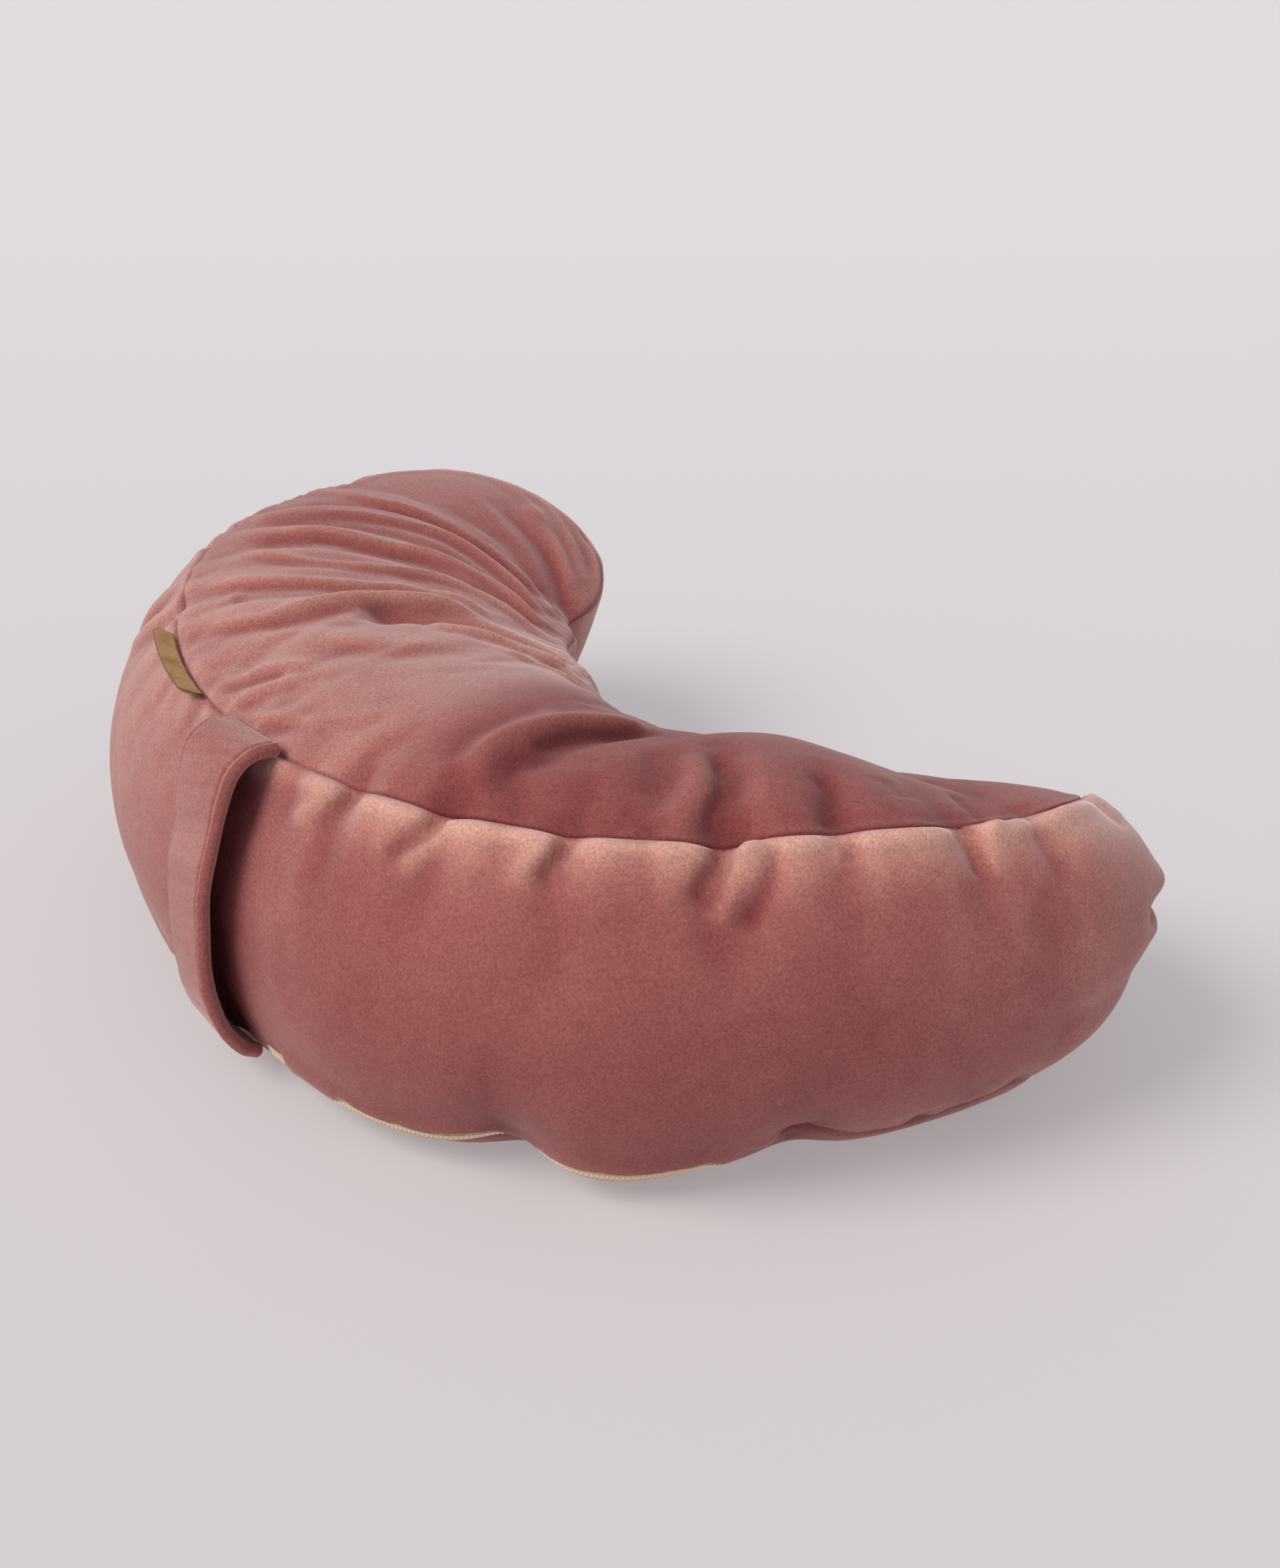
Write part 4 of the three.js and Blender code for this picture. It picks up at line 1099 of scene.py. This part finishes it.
def make_pile_group():
    """Short velvet pile: brushed patches, a fine speckle and the height of the fibres. The patches
    mix a broad noise with a finer one, and the height mixes the speckle with the finer one."""
    group = bpy.data.node_groups.new("pile", "ShaderNodeTree")
    sockets = [("Vector", "INPUT", "NodeSocketVector"), ("Patch Scale", "INPUT", "NodeSocketFloat"),
               ("Grain Scale", "INPUT", "NodeSocketFloat"), ("Patch", "OUTPUT", "NodeSocketFloat"),
               ("Grain", "OUTPUT", "NodeSocketFloat"), ("Height", "OUTPUT", "NodeSocketFloat")]
    for name, way, kind in sockets:
        group.interface.new_socket(name, in_out=way, socket_type=kind)
    w = Wiring(group)
    given = w.node("NodeGroupInput")
    result = w.node("NodeGroupOutput")
    place = given.outputs["Vector"]
    broad = w.noise(place, given.outputs["Patch Scale"], detail=3.0, rough=0.55, warp=0.6)
    fine_scale = w.maths("MULTIPLY", given.outputs["Patch Scale"], 6.0)
    brushed_pile_and_painted_light = w.noise(place, fine_scale, detail=3.0, rough=0.6, warp=1.2)
    patch = w.maths("ADD", w.maths("MULTIPLY", broad, 0.65), w.maths("MULTIPLY", brushed_pile_and_painted_light, 0.35))
    grain = w.noise(place, given.outputs["Grain Scale"], detail=2.0, rough=0.7)
    height = w.maths("ADD", w.maths("MULTIPLY", grain, 0.7), w.maths("MULTIPLY", brushed_pile_and_painted_light, 0.5))
    for socket, name in ((patch, "Patch"), (grain, "Grain"), (height, "Height")):
        w.join(socket, result.inputs[name])
    return group


PILE = make_pile_group()
PILE_SCALES = dict(patch=16.0, grain=1100.0)

# The velvet's colours from deep to pale, and how much the patches, the lift and the painted light and
# shade change them: the lift paints shade into the folds' creases and a highlight onto their crests
TONES = [(0.1, linear(98, 40, 42)), (0.35, linear(138, 74, 73)), (0.55, linear(163, 100, 96)),
         (0.75, linear(194, 137, 125)), (0.95, linear(220, 168, 152))]
TONE_SHARES = dict(patch=0.36, lift=0.14, painted_light_tone=0.3)
COVER_TONE = 0.32
STRAP_TONE = 0.33

# A painted sheen mixed into the velvet's colour: its colour, how it grows where the pile is seen at a
# slant and, as painted light, on what faces up, and how the painted light and shade and the lift change
# it, each as a factor and a start
PAINTED_SHEEN_COLOUR = linear(206, 166, 160)
SLANT_PAINTED_SHEEN = [(0.28, grey(0)), (0.6, grey(0.42)), (0.95, grey(0.62))]
UPWARD_PAINTED_LIGHT = [(0.0, grey(0.25)), (0.6, grey(1))]
PAINTED_SHEEN_BY_PAINTED_LIGHT = (1.0, 0.66)
PAINTED_SHEEN_BY_LIFT = (0.35, 0.82)

# The shader's sheen of the pile, as a factor of the painted light and shade and a start: weaker where
# shade is painted
SHEEN_BY_PAINTED_LIGHT = (0.4, 0.45)
SPECKLE = [(0.3, grey(0.74)), (0.7, grey(1.24))]


def place_pile(w):
    """The pile group on the piece's own coordinates."""
    made = w.node("ShaderNodeGroup", node_tree=PILE)
    w.join(w.node("ShaderNodeTexCoord").outputs["Object"], made.inputs["Vector"])
    made.inputs["Patch Scale"].default_value = PILE_SCALES["patch"]
    made.inputs["Grain Scale"].default_value = PILE_SCALES["grain"]
    return made


def velvet(name, shaped):
    """Dusty rose velvet with random patches and a fine speckle. Its colour holds painted shade where
    folds close and a painted highlight on their crests, the painted light and shade stored on a shaped
    piece, and a painted sheen that pales it where it is seen at a slant and where it faces up, besides
    a soft warm sheen from its pile. A shaped piece has the attributes of its lift and of its painted
    light and shade."""
    material, w, shader = new_material(name)
    pile = place_pile(w)
    plain_tone = COVER_TONE if shaped else STRAP_TONE
    tone = w.maths("MULTIPLY_ADD", pile.outputs["Patch"], TONE_SHARES["patch"], plain_tone)
    if shaped:
        lift = w.node("ShaderNodeAttribute", attribute_name="lift").outputs["Fac"]
        brushed_pile_and_painted_light = w.node("ShaderNodeAttribute", attribute_name="painted_light_tone").outputs["Fac"]
        # The lift paints shade into creases and a highlight onto crests; the stored painted light and
        # shade adds its tones
        tone = w.maths("MULTIPLY_ADD", lift, TONE_SHARES["lift"], tone)
        tone = w.maths("MULTIPLY_ADD", brushed_pile_and_painted_light, TONE_SHARES["painted_light_tone"], tone)
    colour = w.ramp(tone, TONES)
    # A painted sheen: paler towards a pale pink where the pile is seen at a slant and, as painted
    # light, where it faces up
    grazing = w.value("ShaderNodeLayerWeight", {"Blend": 0.5}, 1)
    facing = w.node("ShaderNodeSeparateXYZ")
    w.join(w.node("ShaderNodeNewGeometry").outputs["Normal"], facing.inputs[0])
    upwards = w.ramp(facing.outputs["Z"], UPWARD_PAINTED_LIGHT)
    painted_sheen = w.maths("MULTIPLY", w.ramp(grazing, SLANT_PAINTED_SHEEN), upwards)
    if shaped:
        # The painted sheen is weaker where shade is painted and in creases, stronger on crests; the
        # shader's sheen weakens where shade is painted
        for given, change in ((brushed_pile_and_painted_light, PAINTED_SHEEN_BY_PAINTED_LIGHT), (lift, PAINTED_SHEEN_BY_LIFT)):
            painted_sheen = w.maths("MULTIPLY", painted_sheen, w.maths("MULTIPLY_ADD", given, *change, clamp=True))
        sheen = w.maths("MULTIPLY_ADD", brushed_pile_and_painted_light, *SHEEN_BY_PAINTED_LIGHT, clamp=True)
        w.join(sheen, shader.inputs["Sheen Weight"])
    colour = w.mix_colour(painted_sheen, colour, PAINTED_SHEEN_COLOUR)
    speckle = w.ramp(pile.outputs["Grain"], SPECKLE)
    w.join(w.mix_colour(1.0, colour, speckle, "MULTIPLY"), shader.inputs["Base Color"])
    set_bump(w, shader, pile.outputs["Height"], strength=0.3, distance=0.0005)
    shader.inputs["Roughness"].default_value = 0.95
    shader.inputs["Specular IOR Level"].default_value = 0.1
    if not shaped:
        shader.inputs["Sheen Weight"].default_value = 0.45
    shader.inputs["Sheen Roughness"].default_value = 0.4
    shader.inputs["Sheen Tint"].default_value = (1.0, 0.86, 0.83, 1)
    return material


def tan_leather():
    """Matte tan leather: fine cell-like grain, soft mottling and darker cut edges."""
    material, w, shader = new_material("tan_leather")
    place = w.node("ShaderNodeTexCoord").outputs["Object"]
    mottle = w.noise(place, 160.0, detail=4.0, rough=0.6)
    grain = w.value("ShaderNodeTexVoronoi", {"Vector": place, "Scale": 1300.0}, 0)
    colour = w.ramp(mottle, [(0.3, linear(152, 112, 64)), (0.5, linear(178, 136, 82)),
                             (0.75, linear(196, 158, 104))])
    rim = w.node("ShaderNodeAttribute", attribute_name="rim").outputs["Fac"]
    colour = w.mix_colour(rim, colour, linear(112, 76, 46))
    w.join(colour, shader.inputs["Base Color"])
    set_bump(w, shader, grain, strength=0.35, distance=0.0002)
    w.join(w.ramp(mottle, [(0.3, grey(0.62)), (0.7, grey(0.5))]), shader.inputs["Roughness"])
    return material


def cream_tape():
    """Cream zip: a finely mottled woven tape with a paler, glossier coil on it."""
    material, w, shader = new_material("cream_zip_tape")
    place = w.node("ShaderNodeTexCoord").outputs["Object"]
    weave = w.noise(place, 2600.0, detail=1.0)
    coil = w.node("ShaderNodeAttribute", attribute_name="coil").outputs["Fac"]
    tape = w.ramp(weave, [(0.3, linear(196, 168, 134)), (0.7, linear(228, 204, 172))])
    w.join(w.mix_colour(coil, tape, linear(242, 222, 194)), shader.inputs["Base Color"])
    w.join(w.ramp(coil, [(0.0, grey(0.85)), (1.0, grey(0.45))]), shader.inputs["Roughness"])
    set_bump(w, shader, weave, strength=0.4, distance=0.0002)
    return material


cushion.data.materials.append(velvet("rose_velvet", True))
strap.data.materials.append(velvet("rose_velvet_strap", False))
tab.data.materials.append(tan_leather())
zip_piece.data.materials.append(cream_tape())

for piece, node, slot_name in ((cushion, "cushion", "velvet"), (strap, "carry_strap", "velvet"),
                               (tab, "tab", "tab_leather"), (zip_piece, "zip", "zip_tape")):
    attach(piece, "root")
    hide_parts(node)

# Floor, light and camera, in metres

CAMERA_PITCH = math.radians(27.67)
CAMERA_YAW = math.radians(49.43)
CAMERA_DISTANCE = 0.952
LOOK_AT = np.array([-0.06893, 0.11929, 0.0])
FORWARD = np.array([-math.sin(CAMERA_YAW), math.cos(CAMERA_YAW), 0.0])
RIGHT = np.array([math.cos(CAMERA_YAW), math.sin(CAMERA_YAW), 0.0])
UP = np.array([0.0, 0.0, 1.0])

FLOOR_REACH = 9.0
FLOOR_GLOW = 0.68
# Floor colours near the camera and far from it, the far one paler as painted light
NEAR_FLOOR, FAR_FLOOR = linear(172, 168, 169), linear(180, 178, 181)

# Daylight: its strength, the angle that it fills, its colour, and the way towards it
SUN_STRENGTH = 1.95
SUN_WIDTH = math.radians(34)
SUN_COLOUR = (1.0, 0.945, 0.885)
TOWARDS_SUN = -RIGHT * 0.6 - FORWARD * 0.28 + UP * 0.72

ROOM_COLOUR = (0.96, 0.94, 1.0, 1)
ROOM_STRENGTH = 0.5


def make_floor():
    """A plain pale floor, far wider than the view, with painted light that makes it a little lighter
    away from the camera. Its glow stands for the white room, which fills the shadows."""
    mesh = bpy.data.meshes.new("floor")
    wide = FLOOR_REACH
    mesh.from_pydata([(-wide, -wide, 0), (wide, -wide, 0), (wide, wide, 0), (-wide, wide, 0)],
                     [], [(0, 1, 2, 3)])
    floor = bpy.data.objects.new("floor", mesh)
    bpy.context.scene.collection.objects.link(floor)
    material, w, shader = new_material("pale_floor")
    place = w.node("ShaderNodeTexCoord").outputs["Object"]
    away = w.node("ShaderNodeVectorMath", operation="DOT_PRODUCT")
    w.join(place, away.inputs[0])
    away.inputs[1].default_value = (*FORWARD[:2], 0)
    distance = w.maths("MULTIPLY_ADD", away.outputs["Value"], 0.5, 0.35)
    colour = w.ramp(distance, [(0.1, NEAR_FLOOR), (0.9, FAR_FLOOR)])
    w.join(colour, shader.inputs["Base Color"])
    w.join(colour, shader.inputs["Emission Color"])
    shader.inputs["Emission Strength"].default_value = FLOOR_GLOW
    shader.inputs["Roughness"].default_value = 0.95
    shader.inputs["Specular IOR Level"].default_value = 0.1
    mesh.materials.append(material)
    return floor


def make_camera():
    """The camera at the photograph's angle, with a 50 mm lens on a 36 mm frame."""
    camera = bpy.data.objects.new("camera", bpy.data.cameras.new("camera"))
    bpy.context.scene.collection.objects.link(camera)
    sight = FORWARD * math.cos(CAMERA_PITCH) - UP * math.sin(CAMERA_PITCH)
    camera.location = LOOK_AT - sight * CAMERA_DISTANCE
    camera.rotation_euler = (0.5 * math.pi - CAMERA_PITCH, 0, CAMERA_YAW)
    camera.data.lens = 50
    camera.data.sensor_width = 36
    camera.data.sensor_fit = "AUTO"
    bpy.context.scene.camera = camera


def make_sun():
    """Wide soft daylight from high up on the camera's left, a little from its side of the cushion."""
    data = bpy.data.lights.new("window_light", "SUN")
    data.energy = SUN_STRENGTH
    data.angle = SUN_WIDTH
    data.color = SUN_COLOUR
    light = bpy.data.objects.new("window_light", data)
    bpy.context.scene.collection.objects.link(light)
    x, y, z = TOWARDS_SUN / np.linalg.norm(TOWARDS_SUN)
    light.rotation_euler = (math.acos(z), 0, math.atan2(y, x) + 0.5 * math.pi)


def make_room_light():
    """Even light of a slightly violet white from all round."""
    world = bpy.data.worlds.new("room_light")
    bpy.context.scene.world = world
    world.use_nodes = True
    background = world.node_tree.nodes["Background"]
    background.inputs["Color"].default_value = ROOM_COLOUR
    background.inputs["Strength"].default_value = ROOM_STRENGTH


make_floor()
make_camera()
make_sun()
make_room_light()
bpy.context.scene.view_settings.view_transform = "Standard"
